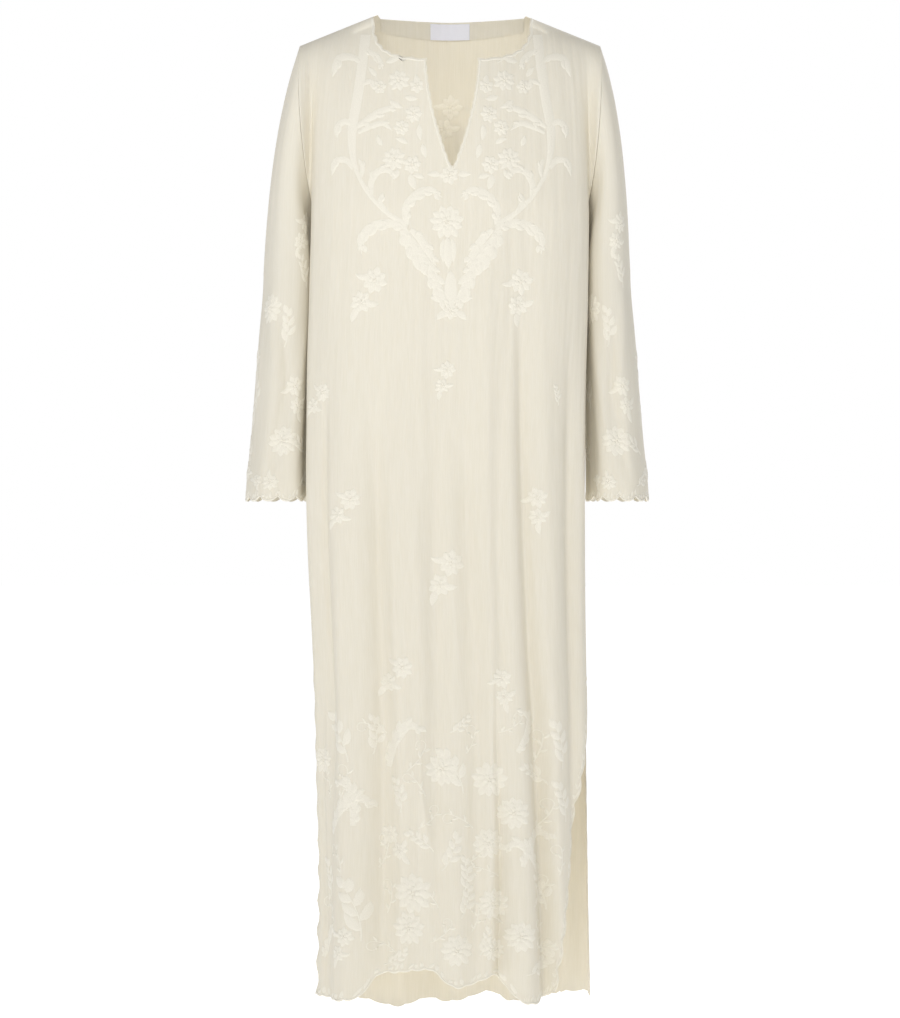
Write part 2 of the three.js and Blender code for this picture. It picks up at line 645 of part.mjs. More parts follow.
// The folds along a sleeve, by their angle round it, from the outside over the front.
const SLEEVE_FOLDS = [
  { name: "front fold", angle: 62, out: [2, 3, 3], wide: 16 },
  { name: "front trough", angle: 92, out: [-1, -3, -3], wide: 14 },
  { name: "inner front fold", angle: 122, out: [0, 2, 4], wide: 14 },
  { name: "inner trough", angle: 146, out: [0, -3, -9], wide: 13 },
  { name: "back trough", angle: 262, out: [0, -3, -5], wide: 16 },
  { name: "back fold", angle: 236, out: [0, 2, 4], wide: 16 },
  { name: "outer back fold", angle: 300, out: [1, 3, 4], wide: 18 },
];
const CUFF_Z = -655;
const ARM_Z = SLEEVE[0].z; // level from which the sleeve hangs plainly

// Round the armhole: from the shoulder seam down the front panel's edge and up the back panel's.
const UNDERARM = 0.02; // the last part of the way down, where both edges run to one point
function armholePoint(hand, turn) {
  const front = turn <= 0.5;
  const t = front ? turn * 2 : 2 - turn * 2;
  const side = front ? "front" : "back";
  const s = hand * (front ? 1 : -1);
  const along = t < 1 ? panelPoint(side, s, -CHEST_Z * t) : panelPoint(side, s, -CHEST_Z);
  along.y *= Math.min(1, Math.max(0, (1 - t) / UNDERARM));
  along.x += hand * 2 * SEAM_GAP;
  return along;
}

function sleeveSection(hand, z, turn) {
  const angle = turn * 2 * Math.PI;
  const degrees = turn * 360;
  const half = lookUp(SLEEVE, "z", "half", z);
  const deep = lookUp(SLEEVE, "z", "deep", z);
  const down = rise(ARM_Z, CUFF_Z, z);
  let out = 0;
  for (const fold of SLEEVE_FOLDS) {
    const high = mix(mix(fold.out[0], fold.out[1], rise(0, 0.5, down)), fold.out[2], rise(0.5, 1, down));
    out += high * bump((degrees - fold.angle) / fold.wide);
  }
  const fuller = hand < 0 ? LEFT_FULLER : 0;
  const x = lookUp(SLEEVE, "z", "x", z) + fuller + (half + fuller + out * 0.6) * Math.cos(angle);
  const y = lookUp(SLEEVE, "z", "back", z) - (deep + out) * Math.sin(angle);
  return new THREE.Vector3(hand * besideBody(hand, x, y, z), y, z);
}

// A sleeve's inner side lies along the body, just clear of it: x, or more where the body is wider.
const SLEEVE_CLEAR = 4.5;
const SLEEVE_SOFT = 6; // the sleeve comes to lie along the body over this much of its width
function besideBody(hand, x, y, z) {
  const column = y < SIDE_Y ? "front" : "back";
  const depth = Math.abs(lookUp(BODY, "z", column, z) + (y < SIDE_Y ? SIDE_Y : -SIDE_Y));
  const away = Math.min(1, Math.abs(y - SIDE_Y) / depth);
  const wide = lookUp(BODY, "z", "half", z) * Math.pow(1 - Math.pow(away, 2 / BEND[column]), BEND[column] / 2);
  const clear = wide + hand * lookUp(BODY, "z", "swing", z) + SLEEVE_CLEAR;
  const over = clear - x;
  if (over < -SLEEVE_SOFT) return x;
  return over > SLEEVE_SOFT ? clear : x + ((over + SLEEVE_SOFT) * (over + SLEEVE_SOFT)) / (4 * SLEEVE_SOFT);
}

// drop is 0 at the armhole, 1 where the sleeve starts to hang plainly, and 2 at the cuff.
function sleevePoint(hand, turn, drop) {
  if (drop >= 1) return sleeveSection(hand, mix(ARM_Z, CUFF_Z, drop - 1), turn);
  const start = armholePoint(hand, turn);
  const end = sleeveSection(hand, ARM_Z, turn);
  const length = start.distanceTo(end);
  const outer = 0.5 + 0.5 * Math.cos(turn * 2 * Math.PI); // 1 at the shoulder, 0 at the underarm
  const leave = new THREE.Vector3(hand * mix(0.25, 0.34, outer), 0, -1).setLength(length);
  const arrive = new THREE.Vector3(hand * 0.05, 0, -1).setLength(length);
  const [t, t2, t3] = [drop, drop * drop, drop * drop * drop];
  return new THREE.Vector3()
    .addScaledVector(start, 2 * t3 - 3 * t2 + 1)
    .addScaledVector(leave, t3 - 2 * t2 + t)
    .addScaledVector(end, 3 * t2 - 2 * t3)
    .addScaledVector(arrive, t3 - t2);
}

// The step from a sleeve's outer face to its inner one, taken over small steps round it and down it.
const SLEEVE_OVER = { turn: 0.01, drop: 0.02 };
function sleeveInwards(hand, point) {
  const { turn, drop } = point;
  if (drop === 0) return armholeInwards(point.place, CLOTH);
  const [t0, t1] = [turn - SLEEVE_OVER.turn, turn + SLEEVE_OVER.turn];
  const [d0, d1] = [drop - SLEEVE_OVER.drop, Math.min(2, drop + SLEEVE_OVER.drop)];
  const round = sleevePoint(hand, t1, drop).sub(sleevePoint(hand, t0, drop));
  const down = sleevePoint(hand, turn, d1).sub(sleevePoint(hand, turn, d0));
  return down.cross(round).multiplyScalar(hand).setLength(CLOTH);
}

const SLEEVE_NET = { around: 28, upper: 6, lower: 9 };
function sleeve(hand) {
  const drops = [...spread(0, 1, SLEEVE_NET.upper), ...spread(1, 2, SLEEVE_NET.lower).slice(1, -1)];
  const outer = [];
  const faces = [];
  const add = (turn, drop) => {
    outer.push({ place: sleevePoint(hand, turn, drop), turn, drop });
    return outer.length - 1;
  };
  const ring = (steps, drop) => {
    const first = outer.length;
    for (let k = 0; k < steps; k += 1) add(k / steps, drop(k));
    return spread(0, 1, steps).map((at, k) => ({ id: first + (k % steps), at }));
  };
  const rings = drops.map((drop) => ring(SLEEVE_NET.around, () => drop));
  const cuffSteps = CUFF_SCALLOP.count * POINTS_EACH;
  const cut = (k) => scallop(k / POINTS_EACH, 1, CUFF_SCALLOP.deep) / (ARM_Z - CUFF_Z);
  rings.push(ring(cuffSteps, (k) => 2 - cut(k)));
  for (let j = 0; j < rings.length - 1; j += 1) zip(faces, rings[j], rings[j + 1]);
  const outwards = hand < 0 ? faces : faces.map(([a, b, c]) => [a, c, b]);
  return wall(outer, outwards, rimOf(outwards), (point) => sleeveInwards(hand, point));
}

const IVORY_VOILE = { color: 0xe9e3d3, roughness: 0.9, metalness: 0 };
const WHITE_TAPE = { color: 0xe8e8f0, roughness: 0.6, metalness: 0 };
const clothMaterial = () => new THREE.MeshStandardMaterial(IVORY_VOILE);
const labelMaterial = () => new THREE.MeshStandardMaterial(WHITE_TAPE);

const kaftan = new THREE.Group();
function place(name, geometry, material) {
  const mesh = new THREE.Mesh(geometry, material);
  mesh.name = name;
  kaftan.add(mesh);
}
place("front_panel", frontPanel(), clothMaterial());
place("back_panel", backPanel(), clothMaterial());
place("sleeve_left", sleeve(-1), clothMaterial());
place("sleeve_right", sleeve(1), clothMaterial());
place("neck_facing", facing(), clothMaterial());
place("neck_label", label(), labelMaterial());

export default kaftan;
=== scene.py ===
import bpy
import numpy as np
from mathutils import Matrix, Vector
from mathutils.bvhtree import BVHTree


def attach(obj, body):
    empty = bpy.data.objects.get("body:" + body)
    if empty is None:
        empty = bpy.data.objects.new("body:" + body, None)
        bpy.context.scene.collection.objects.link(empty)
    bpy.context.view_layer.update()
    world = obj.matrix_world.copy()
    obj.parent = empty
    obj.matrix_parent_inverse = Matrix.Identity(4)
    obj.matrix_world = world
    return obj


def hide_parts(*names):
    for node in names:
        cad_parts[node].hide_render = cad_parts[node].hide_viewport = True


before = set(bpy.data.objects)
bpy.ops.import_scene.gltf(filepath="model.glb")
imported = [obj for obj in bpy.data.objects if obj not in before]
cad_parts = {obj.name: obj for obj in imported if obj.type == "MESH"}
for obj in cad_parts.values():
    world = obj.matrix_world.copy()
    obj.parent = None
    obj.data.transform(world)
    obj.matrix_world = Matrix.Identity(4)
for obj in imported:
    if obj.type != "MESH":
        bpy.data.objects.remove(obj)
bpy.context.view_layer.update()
bpy.ops.object.select_all(action="DESELECT")
MM = 0.001

# The view. A level camera stands five metres in front of the garment, at half its height, with a
# long lens, so that the hanging sides stay parallel.
CAMERA_BACK = 5000
CAMERA_HEIGHT = -665
LENS = 131
QUARTER_TURN = np.pi / 2
camera_data = bpy.data.cameras.new("view")
camera_data.lens = LENS
camera = bpy.data.objects.new("view", camera_data)
camera.location = (0, -CAMERA_BACK * MM, CAMERA_HEIGHT * MM)
camera.rotation_euler = (QUARTER_TURN, 0, 0)
bpy.context.scene.collection.objects.link(camera)
bpy.context.scene.camera = camera


# The studio. A softly lit white room, open to every side, with a wide white floor, one broad light
# in front on the left and one behind. The room looks white, but lights the cloth more gently.
ROOM_STRENGTH = 0.32
FLOOR_WHITE = (0.8, 0.8, 0.8, 1)
FLOOR_GLOW = 0.8
FLOOR_HALF = 30000
FLOOR_Z = -1395
KEY = {"place": (-560, -2450, 1100), "aim": (0, -60, -420), "size": 900, "power": 31.5}
REAR = {"place": (900, 2500, 1100), "aim": (0, 60, -420), "size": 900, "power": 33}
bpy.context.scene.view_settings.view_transform = "Standard"
world = bpy.data.worlds.new("white room")
world.use_nodes = True
room, room_links = world.node_tree.nodes, world.node_tree.links
room["Background"].inputs["Color"].default_value = (1, 1, 1, 1)
seen = room.new("ShaderNodeLightPath")
strength = room.new("ShaderNodeMath")
strength.operation = "MULTIPLY_ADD"
room_links.new(seen.outputs["Is Camera Ray"], strength.inputs[0])
strength.inputs[1].default_value = 1 - ROOM_STRENGTH
strength.inputs[2].default_value = ROOM_STRENGTH
room_links.new(strength.outputs[0], room["Background"].inputs["Strength"])
bpy.context.scene.world = world
for name, light in (("key", KEY), ("rear light", REAR)):
    lamp = bpy.data.lights.new(name, "AREA")
    lamp.energy = light["power"]
    lamp.size = light["size"] * MM
    shining = bpy.data.objects.new(name, lamp)
    shining.location = Vector(light["place"]) * MM
    toward = Vector(light["aim"]) * MM - shining.location
    shining.rotation_euler = toward.to_track_quat("-Z", "Y").to_euler()
    bpy.context.scene.collection.objects.link(shining)

# Two broad soft lights, back to back inside the garment, give the cloth its glow and light the neck.
INSIDE = {"x": 0, "y": -30, "z": -615, "wide": 260, "high": 1290, "power": 0.33}
for name, quarter_turns in (("inside, to the front", 1), ("inside, to the back", -1)):
    panel = bpy.data.lights.new(name, "AREA")
    panel.shape = "RECTANGLE"
    panel.energy = INSIDE["power"]
    panel.size, panel.size_y = INSIDE["wide"] * MM, INSIDE["high"] * MM
    inside = bpy.data.objects.new(name, panel)
    inside.location = Vector((INSIDE["x"], INSIDE["y"], INSIDE["z"])) * MM
    inside.rotation_euler = (-quarter_turns * QUARTER_TURN, 0, 0)
    inside.visible_camera = False
    bpy.context.scene.collection.objects.link(inside)

bpy.ops.mesh.primitive_plane_add(size=2 * FLOOR_HALF * MM, location=(0, 0, FLOOR_Z * MM))
floor = bpy.context.object
floor.name = "floor"
bpy.ops.object.transform_apply(location=True)
floor_paint = bpy.data.materials.new("floor white")
floor_paint.use_nodes = True
paint = floor_paint.node_tree.nodes["Principled BSDF"]
paint.inputs["Base Color"].default_value = FLOOR_WHITE
paint.inputs["Roughness"].default_value = 1.0
paint.inputs["Specular IOR Level"].default_value = 0.0
paint.inputs["Emission Color"].default_value = (1, 1, 1, 1)
paint.inputs["Emission Strength"].default_value = FLOOR_GLOW
floor.data.materials.append(floor_paint)
floor.select_set(False)


# The front panel. One width of cotton voile, cut with a rounded square neck and a deep notch, hangs
# from the shoulder seams over the chest in soft upright folds to a scalloped hem. It is sewn to the
# back down the sides as far as the two slits.
def table(columns, *rows):
    """Rows of numbers under named columns, as one array for each column."""
    return {name: np.array(values, float) for name, values in zip(columns.split(), zip(*rows))}


SEAM_GAP = 0.2
CHEST_Z = -260
SLIT_Z = -842
SLIT_EASE = 60
NECK_X = 103
NECK_MIDDLE = 3
SHOULDER_X, SHOULDER_Z = 202, -40
SEAM_ANGLE = 101
SIDE_Y = -30
FRONT_BEND, BACK_BEND = 0.85, 0.9
SLIT_TURN = {"front": 3, "back": 1}
# The plain outline at each height: half its width, its depth before and behind the side seams, its
# swing to the right, and the degrees from the front at which each panel ends on the right.
BODY = table(
    "z half front back swing front_edge back_edge",
    (-260, 186, 112, 104, 0, 101, 101),
    (-380, 187, 112, 101, -2, 101, 101),
    (-500, 187, 110, 98, -5, 101, 101),
    (-660, 186, 108, 97, -5, 101, 101),
    (-842, 182, 108, 99, 0, 101, 101),
    (-930, 180.5, 109, 101, 3, 90, 99),
    (-1020, 180, 110, 103, 4, 75, 97),
    (-1130, 180, 114, 108, 5, 60, 93),
    (-1220, 181, 117, 111, 5, 51, 91),
    (-1350, 183, 119, 114, 5, 44, 87),
)
CHEST_LEVEL, KNEE_LEVEL, HEM_LEVEL = -300, -800, -1310
# Upright folds: the place of each along the cloth at chest, knee and hem, how far it stands out
# there, how wide it is and how far it leans over.
FOLD_COLUMNS = "chest knee hem out_chest out_knee out_hem wide lean"
FOLDS = {
    "front": table(
        FOLD_COLUMNS,
        (-200, -204, -214, 0, 5, 0, 16, 0),
        (-172, -173, -180, 0, -5, -8, 15, 0),
        (-140, -140, -143, 1, 5, 15, 28, 3),
        (-98, -94, -86, 0, -5, -12, 30, 0),
        (-48, -47, -40, 2, 5, 4, 22, 0),
        (5, 5, 3, 0, -2, 11, 32, 0),
        (54, 56, 50, 2, 6, 2, 17, 3),
        (66, 65, 62, 0, -4, -10, 10, 0),
        (84, 87, 98, 1, 7, 21, 22, -5),
        (103, 108, 126, -2, -8, -17, 12, 0),
        (132, 138, 144, 1, 7, 5, 16, 0),
        (176, 170, 168, -1, -7, -3, 14, 0),
    ),
    "back": table(
        FOLD_COLUMNS,
        (-205, -206, -208, 0, 1, 9, 18, 0),
        (-168, -166, -172, 0, -5, -9, 17, 0),
        (-128, -126, -130, 1, 6, 16, 26, 2),
        (-84, -86, -88, 0, -6, -13, 22, 0),
        (-50, -48, -44, 2, 6, 12, 22, 0),
        (-6, -5, -2, 0, -6, -13, 24, 0),
        (44, 42, 40, 2, 7, 15, 22, -2),
        (86, 84, 80, -1, -7, -12, 20, 0),
        (124, 126, 122, 1, 6, 17, 26, -3),
        (170, 172, 170, 0, -6, -9, 18, 0),
    ),
}
# The line of each hem: place along the cloth and height.
HEMS = {
    "front": table(
        "at z",
        (-260, -1314), (-195, -1316), (-128, -1312), (-104, -1283), (-78, -1279), (-28, -1273),
        (-17, -1284), (3, -1296), (30, -1290), (56, -1281), (67, -1294), (90, -1314), (112, -1318),
        (126, -1312), (152, -1303),
    ),
    "back": table(
        "at z",
        (-230, -1318), (-160, -1325), (-118, -1337), (-80, -1341), (-50, -1332), (-12, -1341),
        (14, -1344), (34, -1341), (50, -1345), (84, -1349), (120, -1340), (172, -1326), (240, -1312),
    ),
}
# How each panel leaves the shoulder line and comes down to the chest.
YOKE = {
    "front": {"reach": (-300, -215, -225), "turn": 200, "lean": -20},
    "back": {"reach": (330, 200, 215), "turn": -190, "lean": 20},
}
NECK_SHARE, TURN_FROM = 0.45, 0.86
LEAVE_OUT, LEAVE_DOWN = 8, -50
ARRIVE_IN, ARRIVE_DOWN = 60, -260
NEAR_SEAM = 28
# Creases that are too fine for the solid: place along the cloth at the crease's upper and lower
# end, its heights there, how far it stands out and how wide it is.
CREASE_COLUMNS = "upper lower top bottom out wide"
CREASES = {
    "front": table(
        CREASE_COLUMNS,
        (-90, -100, -470, -1340, -9, 14),
        (-50, -32, -925, -1110, 3.2, 4.5),
        (-92, -104, -560, -1250, -2.4, 6),
        (-72, -74, -640, -1330, 2.5, 7),
        (-44, -42, -560, -1340, 3.5, 11),
        (-18, -20, -520, -1280, -3.0, 9),
        (-66, -60, -420, -980, -1.4, 7),
        (6, 4, -600, -1300, 2.0, 10),
        (29, 30, -480, -1340, -7.0, 12),
        (54, 55, -250, -960, 2.2, 8),
        (60, 59, -860, -1350, -3.6, 3.5),
        (72, 76, -860, -1350, 3.2, 10),
        (88, 126, -270, -1340, -5.5, 6.5),
        (106, 127, -760, -1340, -2.5, 8),
        (112, 152, -640, -1330, 3.0, 9),
        (170, 180, -420, -1330, -6.0, 9),
        (200, 190, -420, -860, 1.6, 8),
        (-168, -166, -470, -1040, -5.0, 6),
        (-150, -146, -560, -1300, 2.2, 8),
        (-194, -190, -860, -1330, -3.5, 6),
        (-212, -206, -400, -900, -1.6, 8),
        (-30, -34, -230, -620, 1.2, 8),
        (80, 78, -240, -560, -1.2, 7),
    ),
    "back": table(
        CREASE_COLUMNS,
        (-150, -152, -500, -1300, -2.2, 7),
        (-108, -104, -620, -1250, -2.4, 8),
        (-66, -68, -380, -1000, -1.6, 8),
        (-24, -28, -640, -1320, 2.0, 8),
        (20, 16, -420, -1260, -2.2, 7),
        (64, 62, -700, -1320, 2.0, 8),
        (104, 100, -480, -1120, -2.0, 7),
        (148, 146, -640, -1290, 1.8, 9),
        (-190, -188, -520, -1240, 1.4, 8),
        (196, 198, -420, -1000, -1.5, 8),
    ),
}
EDGE_WAVES = {"at": -226, "wide": 16, "high": 2.4, "pitch": 43, "uneven": 90}
FOLDS_FROM, FOLDS_FULL = -150, -330
SEWN_EASE = 70
CREASE_WANDER, CREASE_TURNS = 2.5, 7
RIPPLE_WAVES = (9, 12, 16, 21, 29, 38)
RIPPLE_DRIFT = 0.06
PANEL_RIPPLE, RIPPLE_SEEDS = 0.4, {"front": 3, "back": 8}
YOKE_SHARE_OF_ROWS = 0.26
RIPPLE_FROM_EDGE, RIPPLE_FROM_SEAM = 12, 25
HEM_SCALLOPS, HEM_SCALLOP_DEEP = 22, 2.2
SLIT_PITCH, SLIT_SCALLOP_DEEP, SLIT_SCALLOPS_FROM = 36, 4.5, 0.9
PROBE = 1.5
CLOTH_THICK = 0.9
FRONT_NET = (264, 160)


def rise(start, stop, x):
    """0 before start, 1 after stop, and a smooth climb between them."""
    t = np.clip((x - start) / (stop - start), 0, 1)
    return t * t * (3 - 2 * t)


def curve_between(t, start, leave, end, arrive):
    """The smooth curve from start to end that leaves and arrives with the given slopes."""
    curve = (2 * t**3 - 3 * t**2 + 1) * start + (t**3 - 2 * t**2 + t) * leave
    return curve + (3 * t**2 - 2 * t**3) * end + (t**3 - t**2) * arrive


def unit(ways):
    """The same directions, each of length 1."""
    return ways / np.linalg.norm(ways, axis=1)[:, None]


def travelled(line):
    """The distance along a line from its start to each of its points."""
    return np.concatenate([[0], np.cumsum(np.linalg.norm(np.diff(line, axis=0), axis=1))])


def look_up(rows, key, column, at):
    """A column's value at a place between the rows, with no corner at a row."""
    keys, values = rows[key], rows[column]
    if keys[0] > keys[-1]:
        keys, values = keys[::-1], values[::-1]
    slopes = np.zeros(len(keys))
    slopes[1:-1] = (values[2:] - values[:-2]) / (keys[2:] - keys[:-2])
    at = np.clip(at, keys[0], keys[-1])
    i = np.clip(np.searchsorted(keys, at, side="right") - 1, 0, len(keys) - 2)
    step = keys[i + 1] - keys[i]
    leave, arrive = step * slopes[i], step * slopes[i + 1]
    return curve_between((at - keys[i]) / step, values[i], leave, values[i + 1], arrive)


def body_depth(z, before):
    """How deep the body is at height z, before or behind its sides, and how its outline bends."""
    front, back = look_up(BODY, "z", "front", z) + SIDE_Y, look_up(BODY, "z", "back", z) - SIDE_Y
    return np.where(before, front, back), np.where(before, FRONT_BEND, BACK_BEND)


def outline(z, angle):
    """The body's outline at height z, at angles from the front centre."""
    sine, cosine = np.sin(np.radians(angle)), np.cos(np.radians(angle))
    depth, bend = body_depth(z, cosine > 0)
    x = look_up(BODY, "z", "half", z) * np.sign(sine) * np.abs(sine) ** bend
    y = SIDE_Y - depth * np.sign(cosine) * np.abs(cosine) ** bend
    return x + look_up(BODY, "z", "swing", z), y


LOWEST_LEVEL, LEVEL_STEP = -1375, 5
LEVELS = np.arange(LOWEST_LEVEL, CHEST_Z + LEVEL_STEP, LEVEL_STEP)
PLACES = np.linspace(0, 1, 241)
HALF_OUTLINE = 80


def unrolled(side):
    """A panel's stretch of the outline at every level, by its share of the way across."""
    z = LEVELS[:, None]
    opened = rise(SLIT_Z, SLIT_Z - SLIT_EASE, z)
    edge = SEAM_ANGLE + (look_up(BODY, "z", side + "_edge", z) - SEAM_ANGLE) * opened
    turned = SLIT_TURN[side] * opened
    if side == "front":
        middle, first, last = 0, turned - SEAM_ANGLE, edge
    else:
        middle, first, last = 180, edge, 360 - SEAM_ANGLE - turned
    t = np.linspace(-1, 1, 2 * HALF_OUTLINE + 1)[None, :]
    x, y = outline(z, middle + t * np.where(t < 0, middle - first, last - middle))
    steps = np.hypot(np.diff(x, axis=1, prepend=x[:, :1]), np.diff(y, axis=1, prepend=y[:, :1]))
    along = np.cumsum(steps, axis=1)
    along -= along[:, [HALF_OUTLINE]]
    even = along[:, :1] + (along[:, -1:] - along[:, :1]) * PLACES
    spread = {
        axis: np.array([np.interp(want, have, row) for want, have, row in zip(even, along, rows)])
        for axis, rows in (("x", x), ("y", y))
    }
    return {"low": along[:, 0], "high": along[:, -1], **spread}


UNROLLED = {side: unrolled(side) for side in ("front", "back")}


def ends_at(side, z):
    """How far a panel reaches to either side of its middle line at height z."""
    return np.interp(z, LEVELS, UNROLLED[side]["low"]), np.interp(z, LEVELS, UNROLLED[side]["high"])


def unfolded(side, z, a):
    """The point of the plain outline at distance a along the cloth from the middle line."""
    low, high = ends_at(side, z)
    row = np.clip((z - LEVELS[0]) / LEVEL_STEP, 0, len(LEVELS) - 1.001)
    column = np.clip((a - low) / (high - low), 0, 0.99999) * (len(PLACES) - 1)
    i, j = row.astype(int), column.astype(int)
    f, g = row - i, column - j
    point = []
    for grid in (UNROLLED[side]["x"], UNROLLED[side]["y"]):
        upper = grid[i, j] * (1 - g) + grid[i, j + 1] * g
        lower = grid[i + 1, j] * (1 - g) + grid[i + 1, j + 1] * g
        point.append(upper * (1 - f) + lower * f)
    return point


def at_height(chest, knee, hem, z):
    """A fold's value at height z, from its values at chest, knee and hem."""
    upper = chest + (knee - chest) * rise(CHEST_LEVEL, KNEE_LEVEL, z)
    return upper + (hem - upper) * rise(KNEE_LEVEL, HEM_LEVEL, z)


def thread_at(side, z, s):
    """Where the thread at a share s of the panel's width hangs: threads follow the folds."""
    rows = FOLDS[side]
    low, high = ends_at(side, z)
    shares = rows["chest"] / ends_at(side, CHEST_Z)[1]
    knots = [low + SEAM_GAP]
    for k, share in enumerate(shares):
        a = at_height(rows["chest"][k], rows["knee"][k], rows["hem"][k], z)
        most = (low if share < 0 else high) * (0.5 + 0.5 * abs(share))
        knots.append(np.maximum(a, most) if share < 0 else np.minimum(a, most))
    knots = np.array([*knots, high - SEAM_GAP])
    shares = np.array([-1, *shares, 1])
    i = np.clip(np.searchsorted(shares, s, side="left") - 1, 0, len(shares) - 2)
    t = (s - shares[i]) / (shares[i + 1] - shares[i])
    each = np.arange(len(s))
    return knots[i, each] * (1 - t) + knots[i + 1, each] * t


def folded(side, a, z):
    """How far the folds and creases carry a point outwards, and along the cloth."""
    low, high = ends_at(side, np.minimum(z, CHEST_Z))
    to_seam = np.minimum(a - low, high - a) - SEAM_GAP
    sewn = rise(SLIT_Z - SEWN_EASE, SLIT_Z, z) * (1 - rise(0, NEAR_SEAM, to_seam))
    faded = rise(FOLDS_FROM, FOLDS_FULL, z) * (1 - sewn)
    out, along = np.zeros(len(a)), np.zeros(len(a))
    rows = FOLDS[side]
    for k in range(len(rows["chest"])):
        middle = at_height(rows["chest"][k], rows["knee"][k], rows["hem"][k], z)
        high_k = at_height(rows["out_chest"][k], rows["out_knee"][k], rows["out_hem"][k], z)
        shape = np.exp(-(((a - middle) / rows["wide"][k]) ** 2)) * faded
        out += shape * high_k
        along += shape * rows["lean"][k] * high_k / rows["wide"][k]
    rows = CREASES[side]
    for upper, lower, top, bottom, high_k, wide in zip(*rows.values()):
        t = (z - top) / (bottom - top)
        middle = upper + (lower - upper) * t + CREASE_WANDER * np.sin(CREASE_TURNS * t + upper)
        ends = rise(0, 0.25, t) * (1 - rise(0.8, 1.12, t))
        out += high_k * ends * np.exp(-(((a - middle) / wide) ** 2)) * (1 - sewn)
    if side == "front":
        near = np.exp(-(((a - EDGE_WAVES["at"]) / EDGE_WAVES["wide"]) ** 2))
        near *= rise(SLIT_Z, SLIT_Z - SLIT_EASE, z)
        turn = z / EDGE_WAVES["pitch"] * 2 * np.pi + np.sin(z / EDGE_WAVES["uneven"])
        out += EDGE_WAVES["high"] * near * np.sin(turn)
    return out, along


def ripple(a, z, seed, high):
    """Small uneven waves that run up and down the cloth, as voile has after washing."""
    draw = np.random.default_rng(seed)
    total = np.zeros(len(a))
    for wave in RIPPLE_WAVES:
        drift, phase, beat, start = draw.uniform(-RIPPLE_DRIFT, RIPPLE_DRIFT), *draw.uniform(0, 6.3, 3)
        fading = np.sin(z / (40 + 14 * beat) + start + 0.03 * a) ** 2
        total += high * wave / RIPPLE_WAVES[-1] * fading * np.sin(6.28 * (a + drift * z) / wave + phase)
    return total


def shoulder_line(share):
    """The line from the middle of the neck along the shoulder seam to the armhole."""
    x = SHOULDER_X * (1.25 * share - 0.25 * share**2)
    slope = -SHOULDER_Z / (SHOULDER_X - NECK_X)
    inside = np.maximum(0, NECK_X - x)
    z = np.where(x > NECK_X, -slope * (x - NECK_X), slope * inside * (1 - 0.35 * inside / NECK_X))
    return np.stack([x, 0 * x, z], axis=1)


def yoke(side, s, t, out):
    """The panel above the chest: threads leave the shoulder line and come down to the chest."""
    shape = YOKE[side]
    share = np.abs(s)
    start = shoulder_line(share)
    x, y = unfolded(side, 0 * s + CHEST_Z, thread_at(side, 0 * s + CHEST_Z, s))
    end = np.stack([np.abs(x), y, 0 * x + CHEST_Z], axis=1)
    turned = rise(TURN_FROM, 1, share)
    middle, neck, shoulder = shape["reach"]
    reach = middle + (neck - middle) * rise(0, NECK_SHARE, share)
    reach = reach + (shoulder - reach) * rise(NECK_SHARE, 1, share)
    leave = np.stack([LEAVE_OUT * share, reach, 0 * s + LEAVE_DOWN], axis=1)
    lean = shape["lean"] + (shape["turn"] - shape["lean"]) * turned
    arrive = np.stack([-ARRIVE_IN * turned, lean, ARRIVE_DOWN + ARRIVE_IN * turned], axis=1)
    point = curve_between(t[:, None], start, leave, end, arrive)
    outward = -1 if side == "front" else 1
    point[:, 0] *= np.where(s < 0, outward, -outward)
    point[:, 1] += outward * (SEAM_GAP * (1 - t) + out)
    return point


def scallop(way, deep):
    """How far the edge lies inside the line that the tips of its scallops touch."""
    return deep * (1 - np.abs(np.sin(np.pi * way)) ** 0.8)


def panel_point(side, s, v, fine=1.0):
    """Points of a panel's outer face, at shares s of its width and v below the shoulders."""
    z = -v
    low_z = np.minimum(z, CHEST_Z)
    a = thread_at(side, low_z, s)
    ends = ends_at(side, low_z)
    slit_scallops = np.round((SLIT_Z - HEM_LEVEL) / SLIT_PITCH)
    deep = scallop((SLIT_Z - z) / (SLIT_Z - HEM_LEVEL) * slit_scallops, SLIT_SCALLOP_DEEP) * (z < SLIT_Z)
    for hand in (-1, 1):
        a = a - hand * deep * rise(SLIT_SCALLOPS_FROM, 1, hand * s)
    out, along = folded(side, a, z)
    near = rise(0, RIPPLE_FROM_EDGE, np.minimum(a - ends[0], ends[1] - a))
    near *= rise(0, RIPPLE_FROM_SEAM, v)
    out = out + fine * ripple(a, z, RIPPLE_SEEDS[side], PANEL_RIPPLE) * near
    upper = yoke(side, s, np.clip(v / -CHEST_Z, 0, 1), out)
    x, y = unfolded(side, low_z, a)
    ahead, behind = unfolded(side, low_z, a + PROBE), unfolded(side, low_z, a - PROBE)
    tangent = unit(np.stack([ahead[0] - behind[0], ahead[1] - behind[1]], axis=1))
    x = x + tangent[:, 1] * out + tangent[:, 0] * along
    y = y - tangent[:, 0] * out + tangent[:, 1] * along
    lower = np.stack([x, y, z], axis=1)
    return np.where((z > CHEST_Z)[:, None], upper, lower), a


